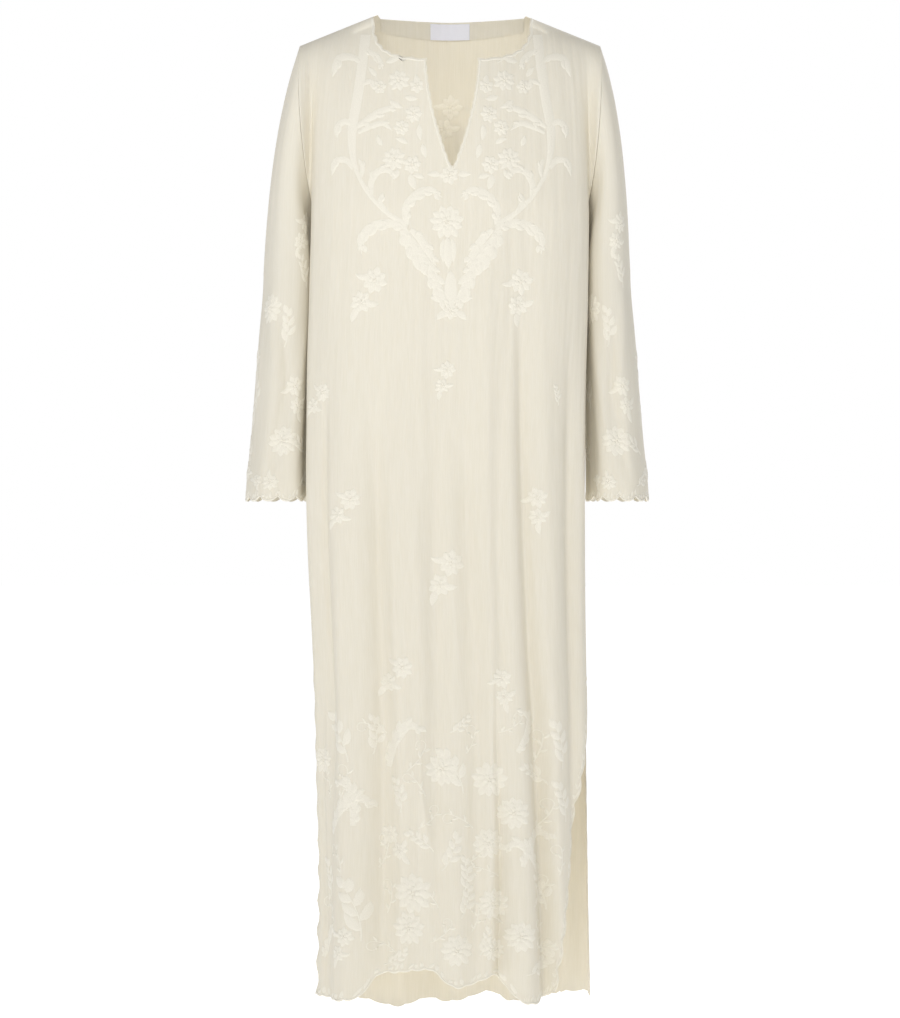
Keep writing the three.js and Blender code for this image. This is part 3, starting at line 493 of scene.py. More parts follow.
def panel_net(side):
    """Places every point of a flat grid on a panel, with its distances along the cloth."""

    def place(across, down):
        s = across * 2 - 1
        hem_a = thread_at(side, 0 * s + HEM_LEVEL, s)
        low, high = ends_at(side, HEM_LEVEL)
        bottom = -look_up(HEMS[side], "at", "z", hem_a)
        inner = (np.abs(s) < 0.999).astype(float)
        bottom -= inner * scallop((hem_a - low) / (high - low) * HEM_SCALLOPS, HEM_SCALLOP_DEEP)
        share = YOKE_SHARE_OF_ROWS
        upper = -CHEST_Z * (np.minimum(down / share, 1)) ** 1.25
        v = upper + (bottom + CHEST_Z) * np.clip((down - share) / (1 - share), 0, 1)
        point, a = panel_point(side, s, v)
        return point, a, v

    return place


def new_grid(name, columns, rows):
    """A flat square grid from -1 to 1, with a UV map."""
    bpy.ops.object.select_all(action="DESELECT")
    bpy.ops.mesh.primitive_grid_add(x_subdivisions=columns, y_subdivisions=rows, size=2)
    grid = bpy.context.object
    grid.name = grid.data.name = name
    return grid


def shape_grid(grid, points, uv):
    """Moves a grid's points to their places, and lays its UV map out in metres of cloth."""
    grid.data.vertices.foreach_set("co", (points * MM).ravel())
    corner = np.empty(len(grid.data.loops), int)
    grid.data.loops.foreach_get("vertex_index", corner)
    grid.data.uv_layers[0].data.foreach_set("uv", (uv[corner] * MM).ravel())
    grid.data.update()


def cloth_sheet(name, columns, rows, place):
    """A fine grid laid on the shape that place gives."""
    sheet = new_grid(name, columns, rows)
    flat = np.empty(len(sheet.data.vertices) * 3)
    sheet.data.vertices.foreach_get("co", flat)
    flat = flat.reshape(-1, 3)
    point, u, v = place((flat[:, 0] + 1) / 2, (1 - flat[:, 1]) / 2)
    shape_grid(sheet, point, np.stack([u, -v], axis=1))
    return sheet


def weld(sheet, reach):
    """Joins a sheet's points that lie within reach of one another."""
    bpy.context.view_layer.objects.active = sheet
    sheet.select_set(True)
    bpy.ops.object.mode_set(mode="EDIT")
    bpy.ops.mesh.select_all(action="SELECT")
    bpy.ops.mesh.remove_doubles(threshold=reach * MM)
    bpy.ops.object.mode_set(mode="OBJECT")


def thicken(sheet, thick, side=-1):
    """Gives a sheet its thickness, behind the face it was laid out with or, with side 1, before it."""
    bpy.context.view_layer.objects.active = sheet
    solid = sheet.modifiers.new("thickness", "SOLIDIFY")
    solid.thickness = thick * MM
    solid.offset = side
    bpy.ops.object.modifier_apply(modifier=solid.name)


SLIVER = 0.25
NECK_HALF, NECK_DEEP, NECK_SQUARE = 106, 68, 3.5
ABOVE_NECK, BEFORE_FRONT, PAST_SEAM = 60, -200, 3
NOTCH_HALF, NOTCH_TOP, NOTCH_TIP, NOTCH_HOLLOW = 34, -62, -215, 1.75
NECK_SCALLOPS, NECK_SCALLOP_DEEP = 14, 2.2
NOTCH_SCALLOPS, NOTCH_SCALLOP_DEEP = 13, 1.6


def cut_with(sheet, corners, y_from, y_to):
    """Cuts a shape drawn in the front view, in x and z, through a sheet, and clears up slivers."""
    bpy.ops.object.select_all(action="DESELECT")
    bpy.ops.mesh.primitive_circle_add(vertices=len(corners), fill_type="NGON")
    blade = bpy.context.object
    for vertex, (x, z) in zip(blade.data.vertices, corners):
        vertex.co = Vector((x, y_from, z)) * MM
    bpy.ops.object.mode_set(mode="EDIT")
    bpy.ops.mesh.select_all(action="SELECT")
    bpy.ops.mesh.extrude_region_move(TRANSFORM_OT_translate={"value": (0, (y_to - y_from) * MM, 0)})
    bpy.ops.mesh.select_all(action="SELECT")
    bpy.ops.mesh.normals_make_consistent(inside=False)
    bpy.ops.object.mode_set(mode="OBJECT")
    bpy.context.view_layer.objects.active = sheet
    cut = sheet.modifiers.new("cut", "BOOLEAN")
    cut.operation = "DIFFERENCE"
    cut.solver = "EXACT"
    cut.object = blade
    bpy.ops.object.modifier_apply(modifier=cut.name)
    bpy.data.objects.remove(blade)
    weld(sheet, SLIVER)


def front_neck_edge(hand, points=160):
    """One side of the neck, from the tip of the notch up to the shoulder, in x and z."""
    t = np.linspace(1, 0, points)
    wave = scallop(t * NOTCH_SCALLOPS, NOTCH_SCALLOP_DEEP) * rise(1.0, 0.93, t)
    notch_x = NOTCH_HALF * (1 - t**NOTCH_HOLLOW) + wave
    notch = np.stack([notch_x, NOTCH_TOP + (NOTCH_TIP - NOTCH_TOP) * t], axis=1)
    angle = np.linspace(-np.pi / 2, 0, points)
    grow = scallop((angle / np.pi + 0.5) * NECK_SCALLOPS, NECK_SCALLOP_DEEP) - NECK_SCALLOP_DEEP
    x = np.abs(np.cos(angle)) ** (2 / NECK_SQUARE) * (NECK_HALF + grow)
    z = -np.abs(np.sin(angle)) ** (2 / NECK_SQUARE) * (NECK_DEEP + grow)
    neck = np.stack([x, z], axis=1)
    corner = np.argmin(np.abs(x - np.interp(NECK_DEEP, -notch[::-1, 1], notch[::-1, 0])))
    edge = np.concatenate([notch[notch[:, 1] < -NECK_DEEP + 1], neck[corner:]])
    return edge * [hand, 1] + [NECK_MIDDLE, 0]


def new_group(name, numbers_in, numbers_out):
    """A node group that takes a place and some numbers, and puts out numbers."""
    group = bpy.data.node_groups.new(name, "ShaderNodeTree")
    group.interface.new_socket(name="Vector", in_out="INPUT", socket_type="NodeSocketVector")
    for way, names in (("INPUT", numbers_in), ("OUTPUT", numbers_out)):
        for number in names:
            group.interface.new_socket(name=number, in_out=way, socket_type="NodeSocketFloat")
    start, end = group.nodes.new("NodeGroupInput"), group.nodes.new("NodeGroupOutput")
    return group, group.nodes, group.links, start, end


def voile_group():
    """Crinkle, slubs and weave of thin cotton, as a height and as light and dark yarn."""
    group, nodes, links, start, end = new_group("crinkled voile", ["Crinkle Pitch"], ["Height", "Yarn"])
    finer = nodes.new("ShaderNodeMath")
    finer.operation = "DIVIDE"
    finer.inputs[0].default_value = 1.0
    links.new(start.outputs["Crinkle Pitch"], finer.inputs[1])

    def stretched(across, down, detail):
        """Noise that is finer across the cloth than down it."""
        scale = nodes.new("ShaderNodeVectorMath")
        scale.operation = "MULTIPLY"
        scale.inputs[1].default_value = (across, down, 1)
        links.new(start.outputs["Vector"], scale.inputs[0])
        pitch = nodes.new("ShaderNodeVectorMath")
        pitch.operation = "SCALE"
        links.new(scale.outputs[0], pitch.inputs[0])
        links.new(finer.outputs[0], pitch.inputs["Scale"])
        noise = nodes.new("ShaderNodeTexNoise")
        noise.inputs["Scale"].default_value = 1.0
        noise.inputs["Detail"].default_value = detail
        noise.inputs["Roughness"].default_value = 0.55
        links.new(pitch.outputs[0], noise.inputs["Vector"])
        return noise

    crinkle = stretched(1.0, 0.07, 3)
    slub = stretched(4.2, 0.16, 2)
    cross = stretched(0.5, 1.6, 2)
    yarn = nodes.new("ShaderNodeTexWave")
    yarn.bands_direction = "X"
    yarn.inputs["Scale"].default_value = 420
    yarn.inputs["Distortion"].default_value = 0.6
    links.new(start.outputs["Vector"], yarn.inputs["Vector"])

    def add(first, factor, second=None):
        """One pattern times a factor, on top of another."""
        step = nodes.new("ShaderNodeMath")
        step.operation = "MULTIPLY_ADD"
        links.new(first, step.inputs[0])
        step.inputs[1].default_value = factor
        if second is None:
            step.inputs[2].default_value = 0.0
        else:
            links.new(second, step.inputs[2])
        return step.outputs[0]

    height = add(crinkle.outputs["Fac"], 1.0)
    height = add(slub.outputs["Fac"], 0.28, height)
    height = add(cross.outputs["Fac"], 0.22, height)
    height = add(yarn.outputs["Fac"], 0.03, height)
    links.new(height, end.inputs["Height"])
    shade = add(slub.outputs["Fac"], 0.6)
    shade = add(crinkle.outputs["Fac"], 0.4, shade)
    links.new(shade, end.inputs["Yarn"])
    return group


CLOTH_DARK, CLOTH_LIGHT = (0.775, 0.728, 0.612, 1), (0.808, 0.762, 0.655, 1)
CRINKLE_PITCH = 0.0048
CRINKLE_STRENGTH, CRINKLE_HEIGHT = 0.2, 0.0006


def patterned(name, pattern, shine, group=None):
    """A new material with the node that patterns it, which is laid on the cloth's UV map."""
    material = bpy.data.materials.new(name)
    material.use_nodes = True
    nodes = material.node_tree.nodes
    place, node = nodes.new("ShaderNodeUVMap"), nodes.new(pattern)
    if group:
        node.node_tree = group
    material.node_tree.links.new(place.outputs["UV"], node.inputs["Vector"])
    for socket, value in shine.items():
        nodes["Principled BSDF"].inputs[socket].default_value = value
    return material, node


def colour_and_raise(material, fac, colours, height, strength, distance):
    """Colours a material between a dark and a light place, and raises it by a height."""
    nodes, links = material.node_tree.nodes, material.node_tree.links
    shader = nodes["Principled BSDF"]
    tint = nodes.new("ShaderNodeValToRGB")
    for element, (position, colour) in zip(tint.color_ramp.elements, colours):
        element.position = position
        element.color = colour
    links.new(fac, tint.inputs["Fac"])
    links.new(tint.outputs["Color"], shader.inputs["Base Color"])
    bump = nodes.new("ShaderNodeBump")
    bump.inputs["Strength"].default_value = strength
    bump.inputs["Distance"].default_value = distance
    links.new(height, bump.inputs["Height"])
    links.new(bump.outputs["Normal"], shader.inputs["Normal"])


def voile(name, through=0.15):
    """Ivory cotton voile: matt, a little fuzzy, and thin enough for some light to pass through."""
    shine = {
        "Roughness": 0.88,
        "Specular IOR Level": 0.1,
        "Sheen Weight": 0.08,
        "Sheen Roughness": 0.5,
        "Subsurface Weight": through,
        "Subsurface Radius": (1.0, 0.9, 0.75),
        "Subsurface Scale": 0.004,
    }
    group = bpy.data.node_groups.get("crinkled voile") or voile_group()
    material, weave = patterned(name, "ShaderNodeGroup", shine, group)
    weave.inputs["Crinkle Pitch"].default_value = CRINKLE_PITCH
    yarn, height = weave.outputs["Yarn"], weave.outputs["Height"]
    colours = ((0.36, CLOTH_DARK), (0.62, CLOTH_LIGHT))
    colour_and_raise(material, yarn, colours, height, CRINKLE_STRENGTH, CRINKLE_HEIGHT)
    return material


CRISP_EDGE = 50


def finish_cloth(sheet, material):
    """Smooth faces with crisp cut edges, and the cloth's material."""
    sheet.data.materials.clear()
    sheet.data.materials.append(material)
    bpy.ops.object.select_all(action="DESELECT")
    sheet.select_set(True)
    bpy.context.view_layer.objects.active = sheet
    bpy.ops.object.shade_smooth_by_angle(angle=np.radians(CRISP_EDGE))
    sheet.select_set(False)


front = cloth_sheet("front_cloth", *FRONT_NET, panel_net("front"))
thicken(front, CLOTH_THICK)
right_edge = front_neck_edge(1)
left_edge = front_neck_edge(-1)[::-1]
neck_top = [(NECK_MIDDLE + hand * NECK_HALF, ABOVE_NECK) for hand in (1, -1)]
cut_with(front, [*left_edge[:-1], *right_edge, *neck_top], BEFORE_FRONT, PAST_SEAM)
ivory = voile("ivory voile")
finish_cloth(front, ivory)
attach(front, "root")
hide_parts("front_panel")


# The back panel. The same voile, cut longer at the hem and almost straight across the neck.
BACK_NET = (248, 160)
BACK_NECK_Z, BACK_NECK_CORNER = -2, 6
BEHIND_BACK = 160
back = cloth_sheet("back_cloth", *BACK_NET, panel_net("back"))
thicken(back, CLOTH_THICK)
back_corners = [
    (-NECK_X + BACK_NECK_CORNER, BACK_NECK_Z),
    (NECK_X - BACK_NECK_CORNER, BACK_NECK_Z),
    (NECK_X, BACK_NECK_Z + BACK_NECK_CORNER),
    (NECK_X, ABOVE_NECK),
    (-NECK_X, ABOVE_NECK),
    (-NECK_X, BACK_NECK_Z + BACK_NECK_CORNER),
]
cut_with(back, [(x + NECK_MIDDLE, z) for x, z in back_corners], -PAST_SEAM, BEHIND_BACK)
finish_cloth(back, ivory)
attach(back, "root")
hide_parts("back_panel")


# The sleeves. Each is one piece of the same voile, set into its armhole, that hangs down past the
# elbow and widens to an open, scalloped cuff.
SLEEVE = table(
    "z x half back deep",
    (-345, 211.5, 33, 22, 62),
    (-440, 216, 35.5, 24, 65),
    (-560, 222, 39, 24, 70),
    (-655, 226.5, 42.5, 23, 77),
)
SLEEVE_FOLDS = table(
    "angle top middle cuff wide",
    (62, 2, 3, 3, 16),
    (92, -1, -3, -3, 14),
    (122, 0, 2, 4, 14),
    (146, 0, -3, -9, 13),
    (262, 0, -3, -5, 16),
    (236, 0, 2, 4, 16),
    (300, 1, 3, 4, 18),
)
# Slanting creases of the hanging sleeve: degrees round it at the crease's upper and lower end, its
# heights there, how far it stands out and how many degrees wide it is.
SLEEVE_CREASES = table(
    "upper lower top bottom out wide",
    (46, 84, -350, -520, 1.8, 8),
    (68, 106, -360, -570, -2.4, 8),
    (132, 98, -390, -640, 2.0, 9),
    (104, 62, -480, -655, -2.4, 9),
    (18, 42, -380, -570, 1.8, 9),
    (150, 126, -440, -640, -1.8, 8),
    (300, 262, -370, -600, 2.2, 10),
    (236, 280, -410, -640, -2.4, 10),
    (332, 300, -450, -650, 1.8, 10),
)
ARM_Z, CUFF_Z = -345, -655
LEFT_FULLER = 4
SLEEVE_CLEAR, SLEEVE_SOFT = 0.7, 1.5
CUFF_SCALLOPS, CUFF_SCALLOP_DEEP = 12, 7
SEAM_REACH = 0.02
SLEEVE_WANDER, SLEEVE_TURNS = 4, 5
SIDEWAYS_SHARE = 0.6
HEAD_SPLAY, HEAD_SPLAY_OUTER, ARM_SPLAY = 0.25, 0.09, 0.05
CUFF_ONLY = 20
SLEEVE_RIPPLE, SLEEVE_RIPPLE_SEED = 0.3, 20
SLEEVE_NET = (144, 116)
SLEEVE_ROUND, SLEEVE_LONG = 390, 620


def beside_body(hand, x, y, z):
    """A sleeve's inner side lies along the body, just clear of it."""
    depth, bend = body_depth(z, y < SIDE_Y)
    away = np.minimum(1, np.abs(y - SIDE_Y) / depth)
    wide = look_up(BODY, "z", "half", z) * (1 - away ** (2 / bend)) ** (bend / 2)
    clear = wide + hand * look_up(BODY, "z", "swing", z) + SLEEVE_CLEAR
    over = clear - x
    eased = x + (over + SLEEVE_SOFT) ** 2 / (4 * SLEEVE_SOFT)
    return np.where(over < -SLEEVE_SOFT, x, np.where(over > SLEEVE_SOFT, clear, eased))


def sleeve_section(hand, z, turn):
    """Points round the hanging sleeve, with its folds and creases."""
    angle = turn * 2 * np.pi
    down = rise(ARM_Z, CUFF_Z, z)
    out = np.zeros(len(z))
    for degrees, top, middle, cuff, wide in zip(*SLEEVE_FOLDS.values()):
        high = top + (middle - top) * rise(0, 0.5, down)
        high = high + (cuff - high) * rise(0.5, 1, down)
        out += high * np.exp(-(((turn * 360 - degrees) / wide) ** 2))
    for upper, lower, top, bottom, high, wide in zip(*SLEEVE_CREASES.values()):
        t = (z - top) / (bottom - top)
        middle = upper + (lower - upper) * t + SLEEVE_WANDER * np.sin(SLEEVE_TURNS * t + upper)
        ends = rise(0, 0.3, t) * (1 - rise(0.7, 1.0, t))
        out += high * ends * np.exp(-(((turn * 360 - middle) / wide) ** 2))
    fuller = LEFT_FULLER if hand < 0 else 0
    half = look_up(SLEEVE, "z", "half", z) + fuller
    x = look_up(SLEEVE, "z", "x", z) + fuller + (half + out * SIDEWAYS_SHARE) * np.cos(angle)
    y = look_up(SLEEVE, "z", "back", z) - (look_up(SLEEVE, "z", "deep", z) + out) * np.sin(angle)
    return np.stack([hand * beside_body(hand, x, y, z), y, z], axis=1)


def armhole_point(hand, turn):
    """Points round the armhole, where front and back panel meet the sleeve."""
    t = np.where(turn <= 0.5, turn * 2, 2 - turn * 2)
    front_point, _ = panel_point("front", 0 * t + hand, -CHEST_Z * t, fine=0)
    back_point, _ = panel_point("back", 0 * t - hand, -CHEST_Z * t, fine=0)
    point = np.where((turn <= 0.5)[:, None], front_point, back_point)
    point[:, 1] *= np.clip((1 - t) / 0.02, 0, 1)
    point[:, 0] += hand * 2 * SEAM_GAP
    return point


def sleeve_net(hand):
    """Places every point of a flat grid on a sleeve, from the armhole down to the cuff."""

    def place(across, down):
        turn = across if hand < 0 else 1 - across
        deep = CUFF_SCALLOP_DEEP / (ARM_Z - CUFF_Z)
        drop = down * 2 - scallop(turn * CUFF_SCALLOPS, deep) * down**CUFF_ONLY
        z = ARM_Z + (CUFF_Z - ARM_Z) * np.maximum(0, drop - 1)
        hanging = sleeve_section(hand, z, turn)
        start, end = armhole_point(hand, turn), sleeve_section(hand, 0 * z + ARM_Z, turn)
        length = np.linalg.norm(end - start, axis=1)[:, None]
        outer = 0.5 + 0.5 * np.cos(turn * 2 * np.pi)
        leave = np.stack([hand * (HEAD_SPLAY + HEAD_SPLAY_OUTER * outer), 0 * z, 0 * z - 1], axis=1)
        arrive = np.array([hand * ARM_SPLAY, 0, -1])
        arrive = arrive * length / np.linalg.norm(arrive)
        upper = curve_between(np.minimum(drop, 1)[:, None], start, unit(leave) * length, end, arrive)
        point = np.where((drop < 1)[:, None], upper, hanging)
        round_way = turn * 2 * np.pi
        wave = ripple(60 * np.sin(round_way) + 60, point[:, 2], SLEEVE_RIPPLE_SEED + hand, SLEEVE_RIPPLE)
        wave = wave * rise(0, 0.12, drop)
        point[:, 0] += hand * wave * np.cos(round_way) * (np.cos(round_way) > -0.2)
        point[:, 1] -= wave * np.sin(round_way)
        return point, turn * SLEEVE_ROUND, -point[:, 2]

    return place


sleeves = {}
for name, hand in (("left", -1), ("right", 1)):
    sleeve = cloth_sheet("sleeve_" + name + "_cloth", *SLEEVE_NET, sleeve_net(hand))
    weld(sleeve, SEAM_REACH)
    thicken(sleeve, CLOTH_THICK)
    finish_cloth(sleeve, ivory)
    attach(sleeve, "root")
    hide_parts("sleeve_" + name)
    sleeves[name] = sleeve


# The neck facing. A band of the same voile is turned in along the back neck, and lies against the
# inside of the back panel.
FACING_HALF, FACING_TOP, FACING_SIDE, FACING_MIDDLE = 97, -2.5, 15, 22
FACING_NET = (60, 8)
FACING_THICK, FACING_GAP = 0.6, 0.25


def faces_of(sheet):
    """A search tree of a sheet's faces, in metres."""
    corners = [vertex.co.copy() for vertex in sheet.data.vertices]
    return BVHTree.FromPolygons(corners, [tuple(face.vertices) for face in sheet.data.polygons])


MISSED_REACH = 0.3


def lay(tree, starts, ways, lifts):
    """Lays points on cloth: each goes its way from its start, and stops a little above the cloth."""
    laid = np.empty(starts.shape)
    for k, (start, way, lift) in enumerate(zip(starts * MM, ways, lifts)):
        hit, normal, _, _ = tree.ray_cast(Vector(start), Vector(way))
        if hit is None:
            hit, normal, _, _ = tree.find_nearest(Vector(start) + Vector(way) * MISSED_REACH)
        away = normal if normal.dot(Vector(way)) < 0 else -normal
        laid[k] = np.array(hit) / MM + np.array(away) * lift
    return laid


def seen_from(tree, from_y, hand=1):
    """A way to lay points on cloth, straight along y, from the side of the front or the back."""

    def place(x, z, lifts):
        starts = np.stack([hand * x, 0 * x + from_y, z], axis=1)
        return lay(tree, starts, np.tile([0.0, float(hand), 0.0], (len(x), 1)), lifts)

    return place


OUTSIDE, BEFORE_BACK = 400, 0.5
back_faces = faces_of(back)
inside_back = seen_from(back_faces, BEFORE_BACK)


def facing_net(across, down):
    """The band along the back neck, deepest in the middle."""
    t = across * 2 - 1
    deep = FACING_MIDDLE + (FACING_SIDE - FACING_MIDDLE) * t * t
    x, z = NECK_MIDDLE + FACING_HALF * t, FACING_TOP - deep * down
    return inside_back(x, z, 0 * x + FACING_GAP), x, -z


facing = cloth_sheet("neck_facing_cloth", *FACING_NET, facing_net)
thicken(facing, FACING_THICK, side=1)
finish_cloth(facing, voile("doubled voile", through=0.25))
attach(facing, "root")
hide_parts("neck_facing")


# The neck label. A bluish white woven tape, sewn to the facing at the middle of the back neck, as one
# flat band whose ends are not folded.
LABEL_WIDE, LABEL_TOP, LABEL_HIGH = 54, -3.5, 20
LABEL_NET = (24, 12)
LABEL_THICK, LABEL_GAP, LABEL_SLACK = 0.5, 0.3, 0.5
TAPE_DARK, TAPE_LIGHT = (0.74, 0.755, 0.86, 1), (0.84, 0.855, 0.94, 1)
TAPE_STRENGTH, TAPE_HEIGHT = 0.3, 0.0002


def label_net(across, down):
    """The tape's face, which stands off a little at its lower edge."""
    x = LABEL_WIDE * (across - 0.5)
    z = LABEL_TOP - LABEL_HIGH * down
    slack = LABEL_SLACK * np.sin(np.pi * across) * down
    return inside_back(x, z, FACING_GAP + FACING_THICK + LABEL_GAP + slack), x, -z


label = cloth_sheet("neck_label_tape", *LABEL_NET, label_net)
thicken(label, LABEL_THICK, side=1)
tape_shine = {"Roughness": 0.45, "Sheen Weight": 0.2}
tape, ribs = patterned("white tape", "ShaderNodeTexWave", tape_shine)
ribs.bands_direction = "Y"
ribs.inputs["Scale"].default_value = 700
ribs.inputs["Distortion"].default_value = 0.8
weft = ribs.outputs["Fac"]
colour_and_raise(tape, weft, ((0, TAPE_DARK), (1, TAPE_LIGHT)), weft, TAPE_STRENGTH, TAPE_HEIGHT)
finish_cloth(label, tape)
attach(label, "root")
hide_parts("neck_label")


# The embroidery on the front. Padded satin stitch in ivory cotton lies on the voile: a garland of
# scrolling leaves round the yoke, and loose flower sprays that gather towards the hem. Flowers and
# leaves are ordinary ones, each worked in ribbons of thread.
ACROSS = 4
SUNK = 0.12
RELIEF = 1.1
THINNEST = 0.12
FULL_HALF = 1.5
FINE_ROWS = 160


def line_through(points, rows):
    """A smooth line through a few points, as evenly spaced rows."""
    points = np.array(points, float)
    along = travelled(points)
    fine = np.linspace(0, along[-1], FINE_ROWS)
    slopes = np.gradient(points, along, axis=0)
    i = np.clip(np.searchsorted(along, fine, side="right") - 1, 0, len(along) - 2)
    step = (along[i + 1] - along[i])[:, None]
    t = (fine[:, None] - along[i][:, None]) / step
    line = curve_between(t, points[i], step * slopes[i], points[i + 1], step * slopes[i + 1])
    gone = travelled(line)
    even = np.linspace(0, gone[-1], rows)
    return np.stack([np.interp(even, gone, line[:, k]) for k in (0, 1)], axis=1)


def curved(start, angle, length, bend, rows):
    """A line that sets off at an angle, and turns evenly by bend radians over its length."""
    turn = angle + bend * (np.arange(rows - 1) + 0.5) / (rows - 1)
    steps = np.stack([np.cos(turn), np.sin(turn)], axis=1) * length / (rows - 1)
    return np.array(start, float) + np.concatenate([np.zeros((1, 2)), np.cumsum(steps, axis=0)])


def ribbon(line, half, high):
    """Satin stitch along a line, with its half width and its height at each row."""
    return {"line": line, "half": np.maximum(half, THINNEST), "high": high}


def leaf(start, angle, length, wide, bend=0.5, high=0.5):
    """A slim leaf, broadest below its middle, that bends over its length."""
    rows = max(7, int(length / 3.5))
    t = np.linspace(0, 1, rows)
    half = wide / 2 * np.sin(np.pi * t**0.85) ** 0.75
    return [ribbon(curved(start, angle, length, bend, rows), half, high)]


def knot(centre, size, high=0.8):
    """A small round knot."""
    t = np.linspace(0, 1, 5)
    line = np.array(centre, float) + np.stack([0 * t, size * (0.5 - t)], axis=1)
    return [ribbon(line, size / 2 * np.sqrt(np.maximum(0, 1 - (2 * t - 1) ** 2)), high)]


def ring(centre, inner, outer, petals, turn, high):
    """Petals about a centre, broad enough to touch."""
    worked = []
    wide = 2.25 * (inner + 0.62 * (outer - inner)) * np.pi / petals
    for k in range(petals):
        angle = turn + 2 * np.pi * k / petals
        start = np.array(centre) + inner * np.array([np.cos(angle), np.sin(angle)])
        length = (outer - inner) * (1 + 0.1 * np.sin(3 * k + turn))
        worked += leaf(start, angle, length, wide, 0.25 * np.sin(2 * k + turn), high)
    return worked


def flower(centre, size, petals=7, turn=0.3):
    """Round petals about a heart of small knots."""
    worked = ring(centre, 0.12 * size, 0.5 * size, petals, turn, 0.55)
    worked += ring(centre, 0.04 * size, 0.27 * size, 5, turn + 0.5, 0.95)
    return worked + knot(centre, 0.14 * size, 1.3)


def bloom(centre, size, turn=0.0):
    """A large double flower, three rings of petals deep."""
    worked = ring(centre, 0.2 * size, 0.52 * size, 11, turn, 0.5)
    worked += ring(centre, 0.1 * size, 0.38 * size, 8, turn + 0.4, 0.85)
    worked += ring(centre, 0.03 * size, 0.2 * size, 5, turn + 0.9, 1.2)
    return worked + knot(centre, 0.1 * size, 1.5)


def spray(base, size, turn):
    """A bent stem with broad paired leaves and a bud."""
    line = curved(base, turn, size, 0.7, 12)
    worked = [ribbon(line, np.linspace(1.2, 0.7, 12), 0.5)]
    for k in (2, 4, 5, 7, 8, 10):
        hand = 1 if k in (2, 5, 8) else -1
        angle = turn + 0.7 * k / 12 + hand * 0.85
        worked += leaf(line[k], angle, size * (0.46 - 0.018 * k), size * 0.19, -hand * 0.5)
    return worked + leaf(line[11], turn + 0.7, size * 0.28, size * 0.2, 0.1)


def sprig(centre, size, turn):
    """Two full flowers, one above the other, with a few leaves."""
    centre = np.array(centre, float)
    way = np.array([np.cos(turn), np.sin(turn)])
    side = np.array([-way[1], way[0]])
    first, second = centre + way * size * 0.3, centre - way * size * 0.3 + side * size * 0.14
    worked = flower(first, size * 0.66, 8, turn)
    worked += flower(second, size * 0.54, 7, turn + 0.5)
    worked += leaf(second - way * size * 0.14, turn + np.pi - 0.5, size * 0.42, size * 0.2, 0.7)
    worked += leaf(second - side * size * 0.1, turn - 1.6, size * 0.36, size * 0.18, 0.6)
    worked += leaf(first + side * size * 0.16, turn + 1.9, size * 0.36, size * 0.16, -0.7)
    return worked


def frond(points, wide, lobes, hand=1, high=0.5):
    """A long scrolling leaf: a rib, with long lobes along its outer side and short ones inside."""
    rows = max(14, 4 * lobes + 4)
    line = line_through(points, rows)
    t = np.linspace(0, 1, rows)
    body = wide / 2 * (0.35 + 0.65 * np.sin(np.pi * np.clip(t * 0.9 + 0.08, 0, 1)) ** 0.8)
    worked = [ribbon(line, body * np.clip(7 * (1 - t), 0.3, 1), high)]
    for k in range(lobes):
        row = int((k + 0.6) / lobes * (rows - 2))
        tangent = line[row + 1] - line[row]
        angle = np.arctan2(tangent[1], tangent[0])
        reach = wide * (1.25 - 0.45 * abs(2 * (k + 0.5) / lobes - 1))
        worked += leaf(line[row], angle - hand * 0.95, reach, wide * 0.62, hand * 0.9, high + 0.15)
        if lobes > 2:
            worked += leaf(line[row], angle + hand * 0.8, reach * 0.62, wide * 0.4, -hand * 0.7, high + 0.1)
    return worked


def scroll(base, size, turn, hand=1):
    """A broad toothed leaf that rolls over at its tip, on a short stalk."""
    line = curved(base, turn, size, hand * 0.5, 5)
    roll = curved(line[4], turn + hand * 0.5, size * 0.55, hand * 2.4, 5)
    return frond([*line, *roll[1:]], size * 0.27, 6, hand)


def other_scroll(base, size, turn):
    """The same leaf, rolled the other way."""
    return scroll(base, size, turn, -1)


def tendril(base, size, turn):
    """A thin stalk that curls over at its end, with a few small leaves along it."""
    line = curved(base, turn, size, 0.6, 9)
    curl = curved(line[8], turn + 0.6, size * 0.7, 4.2, 10)
    worked = [ribbon(np.concatenate([line, curl[1:]]), np.linspace(1.1, 0.6, 18), 0.45)]
    for k in (1, 3, 5, 7):
        hand = 1 if k in (1, 5) else -1
        worked += leaf(line[k], turn + 0.6 * k / 9 + hand * 1.0, size * 0.24, size * 0.1, -hand * 0.5)
    return worked + knot(curl[9], size * 0.1)


def mirrored(worked, middle=0.0):
    """The same stitching, turned over from left to right."""
    flipped = []
    for piece in worked:
        line = piece["line"].copy()
        line[:, 0] = 2 * middle - line[:, 0]
        flipped.append({**piece, "line": line})
    return flipped


VINE_ROWS = 60
GARLAND_MIDDLE = 2


